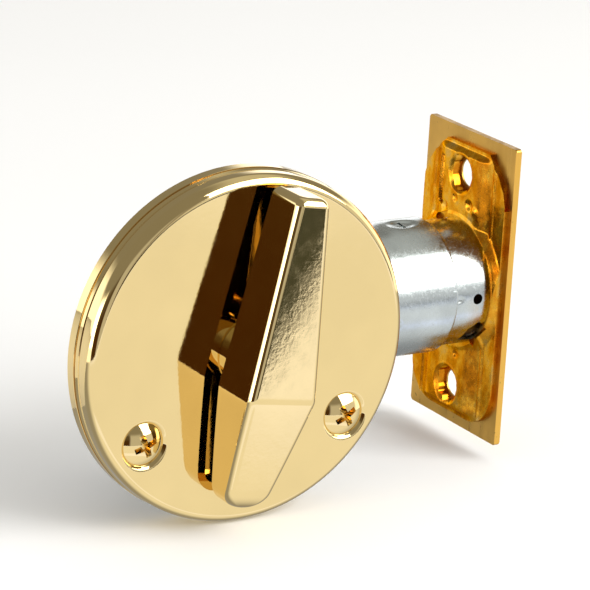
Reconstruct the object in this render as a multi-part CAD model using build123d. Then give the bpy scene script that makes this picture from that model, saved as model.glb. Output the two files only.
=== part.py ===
"""Thumbturn deadbolt: a one-sided tubular bolt lock for a door, as a parts kit.

Frame: millimetres. The origin is the middle of the faceplate's rear face, where
it seats in the door's edge. +X points out of the door along the bolt, +Z is up,
and the rose and its thumbturn face -Y. The turning axis runs along Y, one
backset behind the faceplate's front.
"""

from build123d import *
from math import cos, radians, sin, sqrt
import os

# ---------------------------------------------------------------- main sizes
BACKSET = 60.3            # faceplate's front to turning axis
BOLT_THROW = 25.4         # how far the bolt comes out
BACKSET_TRAVEL = 9.5      # extra backset when the front section is drawn out
KNOB_REST_ANGLE = 8.8     # the blade leans this far past upright with the bolt in

# ---------------------------------------------------------------- clearances
RUN = 0.08                # radial gap of a shaft turning in a hole
SLIDE = 0.30              # gap of a loosely guided sliding piece
FACE_GAP = 0.10           # gap between faces that turn past each other
SCREW_GAP = 0.20          # radial gap around a screw's shank

# ---------------------------------------------------------------- rose
ROSE_R = 31.75
ROSE_HEIGHT = 7.37
ROSE_WALL = 1.2
ROSE_EDGE_R = 1.85        # rolled front edge
ROSE_BAND_STEP = 0.25     # front band of the side wall, in from the rear rim
GROOVE_DEPTH = 0.35
GROOVE_WIDTH = 0.5
GROOVE_HEIGHTS = (2.3, 3.5)

# ---------------------------------------------------------------- rose screws
SCREW_SPACING = 40.3      # between the two rose screws, along X
SCREW_DROP = 14.37        # below the turning axis
SCREW_SHANK_R = 2.0
SCREW_THREAD_R = 1.7      # beyond the door face
SCREW_HEAD_R = 3.85
SCREW_DOME = 1.5
SCREW_REACH = 7.0         # shank beyond the door face
SCREW_SUNK = 0.5          # head's rim below the rose's face
SCREW_TURNS = (22.0, 30.0)
DIMPLE_R = 4.35
CROSS_LENGTH = 4.4
CROSS_WIDTH = 1.0
CROSS_DEPTH = 1.5
SPACER_WALL = 1.5

# ---------------------------------------------------------------- mounting plate
PLATE_T = 1.2
HAT_TOP_R = 14.0
HAT_FOOT_R = 17.0

# ---------------------------------------------------------------- thumbturn
KNOB_GAP = 2.5            # blade's base above the rose
KNOB_TOP = 30.2           # blade's ends and widest station from the axis
KNOB_MID = -5.1
KNOB_BOTTOM = -26.2
KNOB_HALF_TOP = 3.2       # half widths there
KNOB_HALF_MID = 6.8
KNOB_HALF_BOTTOM = 4.0
KNOB_DEPTH_TOP = 8.7      # depths there, out from the base
KNOB_DEPTH_MID = 10.7
KNOB_DEPTH_BOTTOM = 5.0
KNOB_EDGE_R = 0.9
KNOB_WALL = 1.5
BOSS_R = 6.4              # visible shoulder under the blade
SHAFT_R = 5.0             # turning in the rose
SHAFT_END = -1.5          # height of the shaft's end over the door face
RING_GROOVE_R = 4.2
RING_T = 0.7
RING_R = 7.4
RING_MOUTH = 56.0         # opening of the retaining ring, degrees
WASHER_T = 0.6
WASHER_R = 8.6
SPRING_T = 0.35
SPRING_RISE = 0.55
TAIL_W = 6.4              # tailpiece blade
TAIL_T = 2.0
TAIL_PAST_HOUSING = 1.1   # tailpiece beyond the far side of the housing
PIN_R = 1.0
PIN_HEIGHT = 0.2

# ---------------------------------------------------------------- housing and sleeve
HOUSING_R = 12.7
DOOR_GAP = 2.3            # housing to the plane on which the rose seats
HOUSING_WALL = 0.8
HOUSING_REAR = 10.0       # behind the turning axis
HOUSING_FRONT = 9.43      # its front edge behind the faceplate
HOUSING_SLOT_HALF = 4.2
TUBE_FIT = 0.10           # sleeve sliding in the housing
SLEEVE_WALL = 0.8
SLEEVE_LENGTH = 28.7
SCOOP_X = -15.2
SCOOP_HALF_LENGTH = 3.6
SCOOP_HALF_WIDTH = 2.3
SCOOP_DEPTH = 0.45
SCOOP_SLOT = 0.5
DETENT_HOLE_R = 1.0
DETENT_HOLE_X = -4.4

# ---------------------------------------------------------------- faceplate
PLATE_W = 28.58
PLATE_H = 57.15
FACE_T = 1.2
FACE_CORNER_R = 0.5
FACE_SCREWS = 41.3
FACE_HOLE_R = 2.6
FACE_HOLE_LAND = 0.3      # straight stretch behind the countersink
FACE_SINK_R = 4.1

# ---------------------------------------------------------------- backing plate
BACK_T = 1.0
BACK_RAISE = 1.1
BACK_SIDE_MARGIN = 1.1    # backing plate inside the faceplate's edges
BACK_END_MARGIN = 2.5
BACK_CORNER = 5.6
PANEL_W = 14.4
PANEL_CORNER = 1.5
PANEL_RIM = 1.8           # raised collar around the sleeve
COLLAR_R = 3.9
COLLAR_HEIGHT = 0.8
CHANNEL_Z = 18.2
CHANNEL_L = 9.2
CHANNEL_W = 1.7
SIDE_NOTCH_Z = 19.8
SIDE_NOTCH_L = 6.2
SIDE_NOTCH_W = 1.5
NOTCH_ANGLES = (-43.0, 118.0)   # from the room side, rising towards +Z
NOTCH_W = 4.2
NOTCH_L = 3.6

# ---------------------------------------------------------------- bolt and tail
BOLT_WALL_GAP = 0.3       # bolt in its sleeve
BOLT_SIDE_CUT = 2.75      # depth of the flats on the bolt's sides
BOLT_KEPT = 12.6          # what stays behind the door's edge when it is out
BOLT_NOSE = 0.8
TAIL_PLATE_T = 2.0
TONGUE_HALF = 5.0
TONGUE_END = 1.9          # plate past the end of its long hole
TONGUE_HUB_GAP = 1.1
LINK_PIN_R = 1.6
LINK_PIN_BEHIND = 5.0     # link pin ahead of the bolt's rear end
LINK_PIN_SUNK = 0.35      # pin's ends under the bolt's flats
SAW_PIN_R = 3.0
SAW_PIN_COVER = 2.6       # bolt metal in front of the pin
BAR_HUB_GAP = 1.6         # low bar that passes under the hub
BAR_GAP = 0.4
BAR_STEP = 5.0            # length of the slope up to the tongue
LOBE_WALL = 2.0
LOBE_CORNER = 2.5
SLOT_END_GAP = 0.4

# ---------------------------------------------------------------- hub and crank
CRANK_R = BOLT_THROW / sqrt(2)
CRANK_REST = -135.0       # crank direction, from +X towards +Z
CRANK_PIN_R = 1.6
CRANK_PIN_HALF = 3.9
CRANK_SLACK = 0.7         # slot play that lets the crank drive at a constant ratio
ARM_INNER = 1.4
ARM_T = 1.8
ARM_EYE_R = 7.2
ARM_END_R = 3.2
HUB_R = 5.0
HUB_JOURNAL_R = 4.5
HUB_END_GAP = 0.1         # journal's end under the housing's outside
BUSH_R = 6.2
BUSH_FLANGE_R = 7.4
BUSH_FLANGE_T = 0.8
BUSH_PROUD = 0.3
GUIDE_T = 3.8
GUIDE_GAP = 1.6           # behind the bolt

# ---------------------------------------------------------------- derived places
HUB_X = FACE_T - BACKSET
DOOR_FACE_Y = -HOUSING_R - DOOR_GAP
HOUSING_BORE_R = HOUSING_R - HOUSING_WALL
SLEEVE_R = HOUSING_BORE_R - TUBE_FIT
SLEEVE_BORE_R = SLEEVE_R - SLEEVE_WALL
BOLT_R = SLEEVE_BORE_R - BOLT_WALL_GAP
BOLT_FLATS = 2 * (BOLT_R - BOLT_SIDE_CUT)
LINK_PIN_HALF = BOLT_FLATS / 2 - LINK_PIN_SUNK
BOLT_REAR = FACE_T - BOLT_THROW - BOLT_KEPT
LINK_X = BOLT_REAR + LINK_PIN_BEHIND
TONGUE_FRONT = LINK_X + BACKSET_TRAVEL + LINK_PIN_R + TONGUE_END
TONGUE_REAR = HUB_X + ARM_EYE_R + TONGUE_HUB_GAP
BAR_BOTTOM = BAR_GAP - SLEEVE_BORE_R
BAR_TOP = -HUB_R - BAR_HUB_GAP
GUIDE_FRONT = BOLT_REAR - GUIDE_GAP
PANEL_X = -BACK_T - BACK_RAISE
BACK_W = PLATE_W - 2 * BACK_SIDE_MARGIN
BACK_H = PLATE_H - 2 * BACK_END_MARGIN
ROSE_BAND_R = ROSE_R - ROSE_BAND_STEP
FACE_H = ROSE_HEIGHT - ROSE_WALL
CUP_BORE_R = ROSE_BAND_R - GROOVE_DEPTH - ROSE_WALL / 2
SCREW_BORE_R = SCREW_SHANK_R + SCREW_GAP
HAT_UNDER_H = FACE_H - PLATE_T
RING_TOP_H = HAT_UNDER_H - WASHER_T - SPRING_RISE - SPRING_T - FACE_GAP
PIN_X = HUB_X + CRANK_R * cos(radians(CRANK_REST))
PIN_Z = CRANK_R * sin(radians(CRANK_REST))
SLOT_HALF = CRANK_PIN_R + CRANK_SLACK
HUB_HALF = HOUSING_R - HUB_END_GAP
BUSH_IN = sqrt(HOUSING_BORE_R**2 - BUSH_FLANGE_R**2) - BUSH_FLANGE_T - FACE_GAP
BUSH_OUT = HOUSING_R + BUSH_PROUD

# Room-side frame: local X is world X, local Y is world Z, local Z is height out
# of the door face towards the room.
ROOM = Plane(origin=(HUB_X, DOOR_FACE_Y, 0), x_dir=(1, 0, 0), z_dir=(0, -1, 0))
UPWARD = (Align.CENTER, Align.CENTER, Align.MIN)


def out_of_door(shape):
    """Place a shape drawn over the door face."""
    return ROOM.location * shape


def disc(radius, low, high):
    """A cylinder along local Z between two heights."""
    return Pos(0, 0, low) * Cylinder(radius, high - low, align=UPWARD)


def ring(bore_r, radius, low, high):
    """A flat ring along local Z between two heights."""
    return disc(radius, low, high) - disc(bore_r, low, high)


def cone(radius_low, radius_high, low, high):
    """A cone along local Z between two heights."""
    return Pos(0, 0, low) * Cone(radius_low, radius_high, high - low, align=UPWARD)


def across_x(x):
    """The plane across X at one place, with its own x running up."""
    return Plane(origin=(x, 0, 0), x_dir=(0, 0, 1), z_dir=(1, 0, 0))


def along_x(radius, rear, front, y=0.0, z=0.0):
    """A cylinder along world X."""
    return Pos(rear, y, z) * Rot(0, 90, 0) * disc(radius, 0, front - rear)


def along_y(radius, low, high, x=0.0, z=0.0):
    """A cylinder along world Y."""
    return Pos(x, low, z) * Rot(-90, 0, 0) * disc(radius, 0, high - low)


def block(x0, x1, y0, y1, z0, z1):
    """A box between its corner coordinates."""
    return Pos((x0 + x1) / 2, (y0 + y1) / 2, (z0 + z1) / 2) * Box(x1 - x0, y1 - y0, z1 - z0)


def plate_xz(outline, y0, y1):
    """A flat plate from an outline of (x, z) points, between two Y planes."""
    face = make_face(Polyline(*[(x, y0, z) for x, z in outline], close=True))
    return extrude(face, amount=y1 - y0, dir=(0, 1, 0))


def screw_places():
    """Local places of the two rose screws with each one's turn."""
    for side, turn in zip((-1, 1), SCREW_TURNS):
        yield Pos(side * SCREW_SPACING / 2, -SCREW_DROP, 0), turn


# ---------------------------------------------------------------- room side
def rose():
    """Pressed cup with a grooved side wall, screw dimples and a middle hole."""
    edge = ROSE_HEIGHT - ROSE_EDGE_R
    low_band, high_band = GROOVE_HEIGHTS
    side = Polyline((0, 0), (ROSE_R, 0), (ROSE_R, low_band), (ROSE_BAND_R, high_band), (ROSE_BAND_R, edge))
    roll = RadiusArc((ROSE_BAND_R, edge), (ROSE_BAND_R - ROSE_EDGE_R, ROSE_HEIGHT), -ROSE_EDGE_R)
    top = Polyline((ROSE_BAND_R - ROSE_EDGE_R, ROSE_HEIGHT), (0, ROSE_HEIGHT), (0, 0))
    cup = revolve(Plane.XZ * make_face(side + roll + top), Axis.Z)
    for height in GROOVE_HEIGHTS:
        cup -= ring(ROSE_BAND_R - GROOVE_DEPTH, ROSE_R + 1, height, height + GROOVE_WIDTH)
    cup -= disc(CUP_BORE_R, -1, FACE_H)
    sink = DIMPLE_R - SCREW_BORE_R
    under = ROSE_HEIGHT - sink - ROSE_WALL / 2
    for place, _ in screw_places():
        cup += place * disc(DIMPLE_R + ROSE_WALL, under, under + sink)
        cup -= place * cone(DIMPLE_R - sink, DIMPLE_R, ROSE_HEIGHT - sink, ROSE_HEIGHT)
        cup -= place * disc(SCREW_BORE_R, -1, ROSE_HEIGHT)
    cup -= disc(SHAFT_R + RUN, -1, ROSE_HEIGHT + 1)
    return out_of_door(cup)


def mounting_plate():
    """Dished steel plate that backs the rose and carries the turning shaft."""
    shell = disc(CUP_BORE_R, 0, PLATE_T)
    shell += cone(HAT_FOOT_R, HAT_TOP_R, 0, FACE_H)
    shell -= cone(HAT_FOOT_R - PLATE_T, HAT_TOP_R - PLATE_T, -0.01, HAT_UNDER_H)
    shell -= disc(SHAFT_R + RUN, -1, FACE_H + 1)
    for place, _ in screw_places():
        shell -= place * disc(SCREW_BORE_R, -1, PLATE_T + 1)
    return out_of_door(shell)


def screw_spacers():
    """Tubes between the mounting plate and the rose's dimples."""
    top = ROSE_HEIGHT - (DIMPLE_R - SCREW_BORE_R) - ROSE_WALL / 2
    spacer = ring(SCREW_BORE_R, SCREW_BORE_R + SPACER_WALL, PLATE_T, top)
    return [out_of_door(place * spacer) for place, _ in screw_places()]


def rose_screws():
    """Oval-head cross-recess screws."""
    rim = ROSE_HEIGHT - SCREW_SUNK
    neck = rim - (SCREW_HEAD_R - SCREW_SHANK_R)
    dome_r = (SCREW_HEAD_R**2 + SCREW_DOME**2) / (2 * SCREW_DOME)
    screws = []
    for place, turn in screw_places():
        dome = Pos(0, 0, rim + SCREW_DOME - dome_r) * Sphere(dome_r)
        dome &= disc(SCREW_HEAD_R, rim, rim + SCREW_DOME + 1)
        screw = dome + cone(SCREW_SHANK_R, SCREW_HEAD_R, neck, rim) + disc(SCREW_SHANK_R, 0, neck)
        screw += disc(SCREW_THREAD_R, -SCREW_REACH, 0)
        for quarter in (0, 90):
            arm = Pos(0, 0, rim + SCREW_DOME) * Box(CROSS_LENGTH, CROSS_WIDTH, 2 * CROSS_DEPTH)
            screw -= Rot(0, 0, turn + quarter) * arm
        screws.append(out_of_door(place * screw))
    return screws


def knob_outline(inset=0.0, drop=0.0):
    """The blade's plan, a long six-sided outline, drawn in by an inset."""
    stations = (
        (KNOB_HALF_BOTTOM, KNOB_BOTTOM + inset),
        (KNOB_HALF_MID, KNOB_MID),
        (KNOB_HALF_TOP, KNOB_TOP - inset),
    )
    right = [(half - inset, along, drop) for half, along in stations]
    left = [(-x, y, z) for x, y, z in reversed(right)]
    return make_face(Polyline(*right, *left, close=True))


def gable(depth_cut):
    """Everything under the blade's two front faces, lowered by a cut."""
    points = [
        (0, KNOB_BOTTOM, KNOB_DEPTH_BOTTOM - depth_cut),
        (0, KNOB_MID, KNOB_DEPTH_MID - depth_cut),
        (0, KNOB_TOP, KNOB_DEPTH_TOP - depth_cut),
        (0, KNOB_TOP, 0),
        (0, KNOB_BOTTOM, 0),
    ]
    face = make_face(Polyline(*points, close=True))
    return extrude(face, amount=2 * KNOB_HALF_MID, dir=(1, 0, 0), both=True)


def thumbturn():
    """Hollow cast blade on a round boss, with the shaft that turns in the rose."""
    base = ROSE_HEIGHT + KNOB_GAP
    blade = extrude(knob_outline(), amount=KNOB_DEPTH_MID + 1) & gable(0)
    blade = fillet(blade.edges().filter_by(lambda e: e.center().Z > 0.5), KNOB_EDGE_R)
    pocket = extrude(knob_outline(inset=KNOB_WALL), amount=KNOB_DEPTH_MID) & gable(KNOB_WALL)
    blade -= pocket
    blade += disc(BOSS_R, 0, KNOB_DEPTH_MID - KNOB_WALL) & extrude(knob_outline(), amount=KNOB_DEPTH_MID)
    knob = Pos(0, 0, base) * blade
    knob += disc(BOSS_R, ROSE_HEIGHT + FACE_GAP, base)
    knob += disc(SHAFT_R, SHAFT_END, ROSE_HEIGHT + FACE_GAP)
    knob -= ring(RING_GROOVE_R, SHAFT_R + 1, RING_TOP_H - RING_T, RING_TOP_H)
    knob -= Pos(0, 0, (SHAFT_END + base) / 2) * Box(TAIL_T, TAIL_W, base - SHAFT_END)
    knob -= Pos(0, 0, PIN_HEIGHT) * Rot(0, 90, 0) * Cylinder(PIN_R, 4 * SHAFT_R)
    return out_of_door(Rot(0, 0, -KNOB_REST_ANGLE) * knob)


def tailpiece():
    """Flat blade from the knob through the hub."""
    end = DOOR_FACE_Y - HOUSING_R - TAIL_PAST_HOUSING
    base = ROSE_HEIGHT + KNOB_GAP
    blade = Pos(0, 0, (end + base) / 2) * Box(TAIL_T, TAIL_W, base - end)
    blade -= Pos(0, 0, PIN_HEIGHT) * Rot(0, 90, 0) * Cylinder(PIN_R, 4 * SHAFT_R)
    return out_of_door(Rot(0, 0, -KNOB_REST_ANGLE) * blade)


def tailpiece_pin():
    """Cross pin that holds the tailpiece in the knob's shaft."""
    half = sqrt(SHAFT_R**2 - PIN_R**2) - FACE_GAP
    pin = Pos(0, 0, PIN_HEIGHT) * Rot(0, 90, 0) * Cylinder(PIN_R, 2 * half)
    return out_of_door(Rot(0, 0, -KNOB_REST_ANGLE) * pin)


def retaining_ring():
    """Open ring in the shaft's groove."""
    clip = ring(RING_GROOVE_R, RING_R, RING_TOP_H - RING_T, RING_TOP_H)
    mouth = 2 * RING_R * sin(radians(RING_MOUTH / 2))
    clip -= Pos(0, -RING_R, RING_TOP_H - RING_T / 2) * Box(mouth, 2 * RING_R, 2 * RING_T)
    return out_of_door(Rot(0, 0, -KNOB_REST_ANGLE) * clip)


def flat_washer():
    """Washer on the mounting plate's inner face."""
    return out_of_door(ring(SHAFT_R + RUN, WASHER_R, HAT_UNDER_H - WASHER_T, HAT_UNDER_H))


def spring_washer():
    """Coned washer that loads the knob and keeps it where it is turned."""
    inner = (SHAFT_R + RUN, RING_TOP_H)
    outer = (WASHER_R - FACE_GAP, RING_TOP_H + SPRING_RISE)
    tops = [(radius, height + SPRING_T) for radius, height in (outer, inner)]
    profile = make_face(Polyline(inner, outer, *tops, close=True))
    return out_of_door(revolve(Plane.XZ * profile, Axis.Z))


# ---------------------------------------------------------------- tube section
def rear_housing():
    """Tube around the hub, open at the back and underneath for the crank."""
    rear = HUB_X - HOUSING_REAR
    tube = along_x(HOUSING_R, rear, -HOUSING_FRONT) - along_x(HOUSING_BORE_R, rear - 1, -HOUSING_FRONT + 1)
    slot_front = HUB_X + CRANK_R * cos(radians(CRANK_REST + 90)) + SLOT_HALF + ARM_END_R
    tube -= block(rear - 1, slot_front, -HOUSING_SLOT_HALF, HOUSING_SLOT_HALF, -HOUSING_R - 1, 0)
    tube -= along_y(BUSH_R, -HOUSING_R - 1, HOUSING_R + 1, x=HUB_X)
    tube -= Pos(SCOOP_X, 0, HOUSING_R) * scale(Sphere(1), (SCOOP_HALF_LENGTH, SCOOP_HALF_WIDTH, SCOOP_DEPTH))
    half = SCOOP_HALF_WIDTH / 2
    tube -= block(SCOOP_X, SCOOP_X + SCOOP_SLOT, -half, half, 0, HOUSING_R + 1)
    return tube


def front_sleeve():
    """Inner tube that carries the bolt and slides in the housing."""
    rear = PANEL_X - SLEEVE_LENGTH
    tube = along_x(SLEEVE_R, rear, 0) - along_x(SLEEVE_BORE_R, rear - 1, 1)
    tube -= along_y(DETENT_HOLE_R, -SLEEVE_R - 1, 0, x=DETENT_HOLE_X)
    notch = block(PANEL_X - NOTCH_L, PANEL_X, -SLEEVE_R - 1, -SLEEVE_BORE_R + 1, -NOTCH_W / 2, NOTCH_W / 2)
    for angle in NOTCH_ANGLES:
        tube -= Rot(-angle, 0, 0) * notch
    return tube


def bolt_section(grow=0.0):
    """Round bolt with two flat sides, drawn in the plane across X."""
    return Circle(BOLT_R + grow) & Rectangle(4 * BOLT_R, BOLT_FLATS + 2 * grow)


def bolt_bar(rear, front, grow=0.0):
    """The bolt's section as a bar along X."""
    return extrude(across_x(rear) * bolt_section(grow), amount=front - rear)


def plate_yz(width, height, corner, x0, x1):
    """A rectangular plate with rounded corners, across X."""
    return extrude(across_x(x0) * RectangleRounded(height, width, corner), amount=x1 - x0)


def faceplate():
    """Brass plate let into the door's edge, with countersunk screw holes."""
    plate = plate_yz(PLATE_W, PLATE_H, FACE_CORNER_R, 0, FACE_T)
    plate -= bolt_bar(0, FACE_T, SLIDE)
    for side in (-1, 1):
        place = Pos(0, 0, side * FACE_SCREWS / 2) * Rot(0, 90, 0)
        plate -= place * disc(FACE_HOLE_R, 0, FACE_T)
        plate -= place * cone(FACE_HOLE_R, FACE_SINK_R, FACE_HOLE_LAND, FACE_T)
    return plate


def backing_plate():
    """Pressed steel plate that joins the sleeve to the faceplate."""
    plate = plate_yz(BACK_W, BACK_H, BACK_CORNER, -BACK_T, 0)
    panel = plate_yz(PANEL_W, BACK_H - 2 * BACK_RAISE, PANEL_CORNER, PANEL_X, -BACK_T)
    rim = along_x(SLEEVE_R + PANEL_RIM, PANEL_X, -BACK_T)
    plate += panel + (rim & plate_yz(BACK_W, BACK_H, BACK_CORNER, PANEL_X, -BACK_T))
    plate -= along_x(SLEEVE_R, PANEL_X - 1, 0)
    for side in (-1, 1):
        z = side * FACE_SCREWS / 2
        plate += along_x(COLLAR_R, PANEL_X - COLLAR_HEIGHT, PANEL_X, z=z)
        plate -= along_x(FACE_HOLE_R, PANEL_X - 2, 0, z=z)
    channel = block(PANEL_X, PANEL_X + BACK_RAISE, 0, CHANNEL_W, -CHANNEL_L / 2, CHANNEL_L / 2)
    plate -= Pos(0, PANEL_W / 2 - CHANNEL_W, CHANNEL_Z) * channel
    notch = block(-BACK_T, 0, -SIDE_NOTCH_W, SIDE_NOTCH_W, -SIDE_NOTCH_L / 2, SIDE_NOTCH_L / 2)
    plate -= Pos(0, -BACK_W / 2, SIDE_NOTCH_Z) * notch
    return plate


def tail_guide():
    """Slotted disc fixed in the housing that keeps the tail plate upright."""
    rear = GUIDE_FRONT - GUIDE_T
    half = TAIL_PLATE_T / 2 + SLIDE
    slot = block(rear - 1, GUIDE_FRONT + 1, -half, half, -HOUSING_R, TONGUE_HALF + SLIDE)
    return along_x(HOUSING_BORE_R, rear, GUIDE_FRONT) - slot


# ---------------------------------------------------------------- bolt and its tail
def bolt():
    """Solid bolt, bored from behind for its saw-proof pin and slotted for the tail."""
    body = bolt_bar(BOLT_REAR, FACE_T)
    body = chamfer(body.faces().sort_by(Axis.X)[-1].edges(), BOLT_NOSE)
    half = TAIL_PLATE_T / 2 + SLIDE
    high = TONGUE_HALF + SLIDE
    body -= block(BOLT_REAR - 1, TONGUE_FRONT + SLIDE, -half, half, -high, high)
    body -= along_x(SAW_PIN_R, TONGUE_FRONT + SLIDE - 0.01, FACE_T - SAW_PIN_COVER)
    body -= along_y(LINK_PIN_R, -BOLT_FLATS, BOLT_FLATS, x=LINK_X)
    return body


def saw_pin():
    """Hardened pin inside the bolt."""
    return along_x(SAW_PIN_R, TONGUE_FRONT + SLIDE, FACE_T - SAW_PIN_COVER)


def link_pin():
    """Cross pin that joins the bolt to the tail plate's long hole."""
    return along_y(LINK_PIN_R, -LINK_PIN_HALF, LINK_PIN_HALF, x=LINK_X)


def tail_plate():
    """Flat plate from the bolt to the crank, passing under the hub."""
    half = TAIL_PLATE_T / 2
    slot_bottom = -CRANK_R - CRANK_PIN_R - SLOT_END_GAP
    slot_top = PIN_Z + CRANK_PIN_R + SLOT_END_GAP
    bottom = slot_bottom - LOBE_WALL
    lobe_rear = PIN_X - SLOT_HALF - LOBE_WALL
    lobe_front = PIN_X + SLOT_HALF + LOBE_WALL
    outline = [
        (lobe_rear, BAR_TOP),
        (lobe_rear, bottom + LOBE_CORNER),
        (lobe_rear + LOBE_CORNER, bottom),
        (lobe_front - LOBE_CORNER, bottom),
        (lobe_front, bottom + LOBE_CORNER),
        (lobe_front, BAR_BOTTOM),
        (BOLT_REAR - GUIDE_GAP - BAR_STEP, BAR_BOTTOM),
        (BOLT_REAR - GUIDE_GAP, -TONGUE_HALF),
        (TONGUE_FRONT, -TONGUE_HALF),
        (TONGUE_FRONT, TONGUE_HALF),
        (TONGUE_REAR, TONGUE_HALF),
        (TONGUE_REAR, BAR_TOP),
    ]
    plate = plate_xz(outline, -half, half)
    plate -= block(PIN_X - SLOT_HALF, PIN_X + SLOT_HALF, -half, half, slot_bottom, slot_top)
    hole_r = LINK_PIN_R + RUN
    for x in (LINK_X, LINK_X + BACKSET_TRAVEL):
        plate -= along_y(hole_r, -half, half, x=x)
    return plate - block(LINK_X, LINK_X + BACKSET_TRAVEL, -half, half, -hole_r, hole_r)


# ---------------------------------------------------------------- hub and crank
def crank_arm(side):
    """One stamped arm from the hub to the crank pin."""
    low, high = sorted((side * ARM_INNER, side * (ARM_INNER + ARM_T)))
    arm = along_y(ARM_EYE_R, low, high, x=HUB_X) + along_y(ARM_END_R, low, high, x=PIN_X, z=PIN_Z)
    web = block(0, CRANK_R, low, high, -ARM_END_R, ARM_END_R)
    arm += Pos(HUB_X, 0, 0) * Rot(0, -CRANK_REST, 0) * web
    arm -= along_y(HUB_R, low - 1, high + 1, x=HUB_X)
    arm -= along_y(CRANK_PIN_R, low - 1, high + 1, x=PIN_X, z=PIN_Z)
    return arm


def crank_pin():
    """Pin across the two arms that drives the tail plate."""
    return along_y(CRANK_PIN_R, -CRANK_PIN_HALF, CRANK_PIN_HALF, x=PIN_X, z=PIN_Z)


def hub():
    """Barrel in the two bushes, slotted for the tailpiece."""
    barrel = along_y(HUB_R, -BUSH_IN + FACE_GAP, BUSH_IN - FACE_GAP, x=HUB_X)
    barrel += along_y(HUB_JOURNAL_R, -HUB_HALF, HUB_HALF, x=HUB_X)
    slot = Pos(0, 0, DOOR_FACE_Y) * Box(TAIL_T + 2 * RUN, TAIL_W + 2 * RUN, 4 * HUB_HALF)
    barrel -= out_of_door(Rot(0, 0, -KNOB_REST_ANGLE) * slot)
    return barrel


def hub_bush(side):
    """Flanged bush pressed into the housing's side."""
    flange = along_y(BUSH_FLANGE_R, BUSH_IN, BUSH_IN + BUSH_FLANGE_T, x=HUB_X)
    bush = flange + along_y(BUSH_R, BUSH_IN, BUSH_OUT, x=HUB_X)
    bush -= along_y(HUB_JOURNAL_R + RUN, BUSH_IN - 1, BUSH_OUT + 1, x=HUB_X)
    return bush if side > 0 else mirror(bush, Plane.XZ)


PARTS = {
    "rose": rose,
    "mounting_plate": mounting_plate,
    "screw_spacers": screw_spacers,
    "rose_screws": rose_screws,
    "thumbturn": thumbturn,
    "tailpiece": tailpiece,
    "tailpiece_pin": tailpiece_pin,
    "retaining_ring": retaining_ring,
    "flat_washer": flat_washer,
    "spring_washer": spring_washer,
    "rear_housing": rear_housing,
    "front_sleeve": front_sleeve,
    "faceplate": faceplate,
    "backing_plate": backing_plate,
    "tail_guide": tail_guide,
    "bolt": bolt,
    "saw_pin": saw_pin,
    "link_pin": link_pin,
    "tail_plate": tail_plate,
    "crank_arm_room_side": lambda: crank_arm(-1),
    "crank_arm_far_side": lambda: crank_arm(1),
    "crank_pin": crank_pin,
    "hub": hub,
    "hub_bush_room_side": lambda: hub_bush(-1),
    "hub_bush_far_side": lambda: hub_bush(1),
}

os.makedirs("parts", exist_ok=True)
for name, build in PARTS.items():
    made = build()
    made = Compound(children=made) if isinstance(made, list) else made
    export_step(made, f"parts/{name}.step")
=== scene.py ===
"""A thumbturn deadbolt in a plain studio.

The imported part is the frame: every piece stands in its place, in metres, with
+X out of the door along the bolt, +Z up, and the rose facing -Y. One operator
makes each piece or group of like pieces, and one sets up the studio.
"""

import math

import bmesh
import bpy
from mathutils import Matrix, Vector, noise


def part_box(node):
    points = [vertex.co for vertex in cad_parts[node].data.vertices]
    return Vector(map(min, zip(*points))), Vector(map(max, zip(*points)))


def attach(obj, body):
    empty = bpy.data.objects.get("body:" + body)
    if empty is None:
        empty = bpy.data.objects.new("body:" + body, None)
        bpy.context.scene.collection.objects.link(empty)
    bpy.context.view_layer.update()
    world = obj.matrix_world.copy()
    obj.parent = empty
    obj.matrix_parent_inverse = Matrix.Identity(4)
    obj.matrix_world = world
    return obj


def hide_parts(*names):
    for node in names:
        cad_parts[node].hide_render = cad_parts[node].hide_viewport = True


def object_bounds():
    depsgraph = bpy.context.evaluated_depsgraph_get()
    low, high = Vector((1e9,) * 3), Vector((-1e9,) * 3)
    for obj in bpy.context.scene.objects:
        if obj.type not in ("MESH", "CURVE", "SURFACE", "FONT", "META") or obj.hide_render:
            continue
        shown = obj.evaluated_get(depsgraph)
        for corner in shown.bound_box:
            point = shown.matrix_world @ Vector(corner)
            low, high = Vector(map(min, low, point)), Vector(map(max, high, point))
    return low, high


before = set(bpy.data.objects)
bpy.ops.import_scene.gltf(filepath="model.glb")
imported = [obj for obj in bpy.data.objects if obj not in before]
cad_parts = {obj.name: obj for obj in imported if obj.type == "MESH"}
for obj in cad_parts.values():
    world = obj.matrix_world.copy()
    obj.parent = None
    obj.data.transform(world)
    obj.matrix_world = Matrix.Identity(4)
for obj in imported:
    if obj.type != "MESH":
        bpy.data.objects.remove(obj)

bl_info = {
    "name": "Thumbturn Deadbolt Studio",
    "version": (1, 0, 0),
    "blender": (4, 5, 0),
    "location": "3D View > Sidebar > Deadbolt",
    "description": "Builds the detailed pieces, finishes and studio of a thumbturn deadbolt",
    "category": "Object",
}

MM = 0.001
NOTHING = 1e-7    # a length below this counts as none
THROUGH = 0.02    # reaches past every wall of the tubes
MIX_FIRST, MIX_SECOND, MIX_RESULT = 6, 7, 2    # colour sockets of a Mix node
CAD_LOW, CAD_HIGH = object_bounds()

ROSE_LOW, ROSE_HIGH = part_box("rose")
HUB_X = (ROSE_LOW.x + ROSE_HIGH.x) / 2
ROSE_R = (ROSE_HIGH.x - ROSE_LOW.x) / 2
ROSE_HEIGHT = ROSE_HIGH.y - ROSE_LOW.y
DOOR_Y = ROSE_HIGH.y

HOUSING_LOW, HOUSING_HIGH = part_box("rear_housing")
HOUSING_R = (HOUSING_HIGH.y - HOUSING_LOW.y) / 2

SLEEVE_LOW, SLEEVE_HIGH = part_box("front_sleeve")
SLEEVE_R = (SLEEVE_HIGH.y - SLEEVE_LOW.y) / 2

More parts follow.
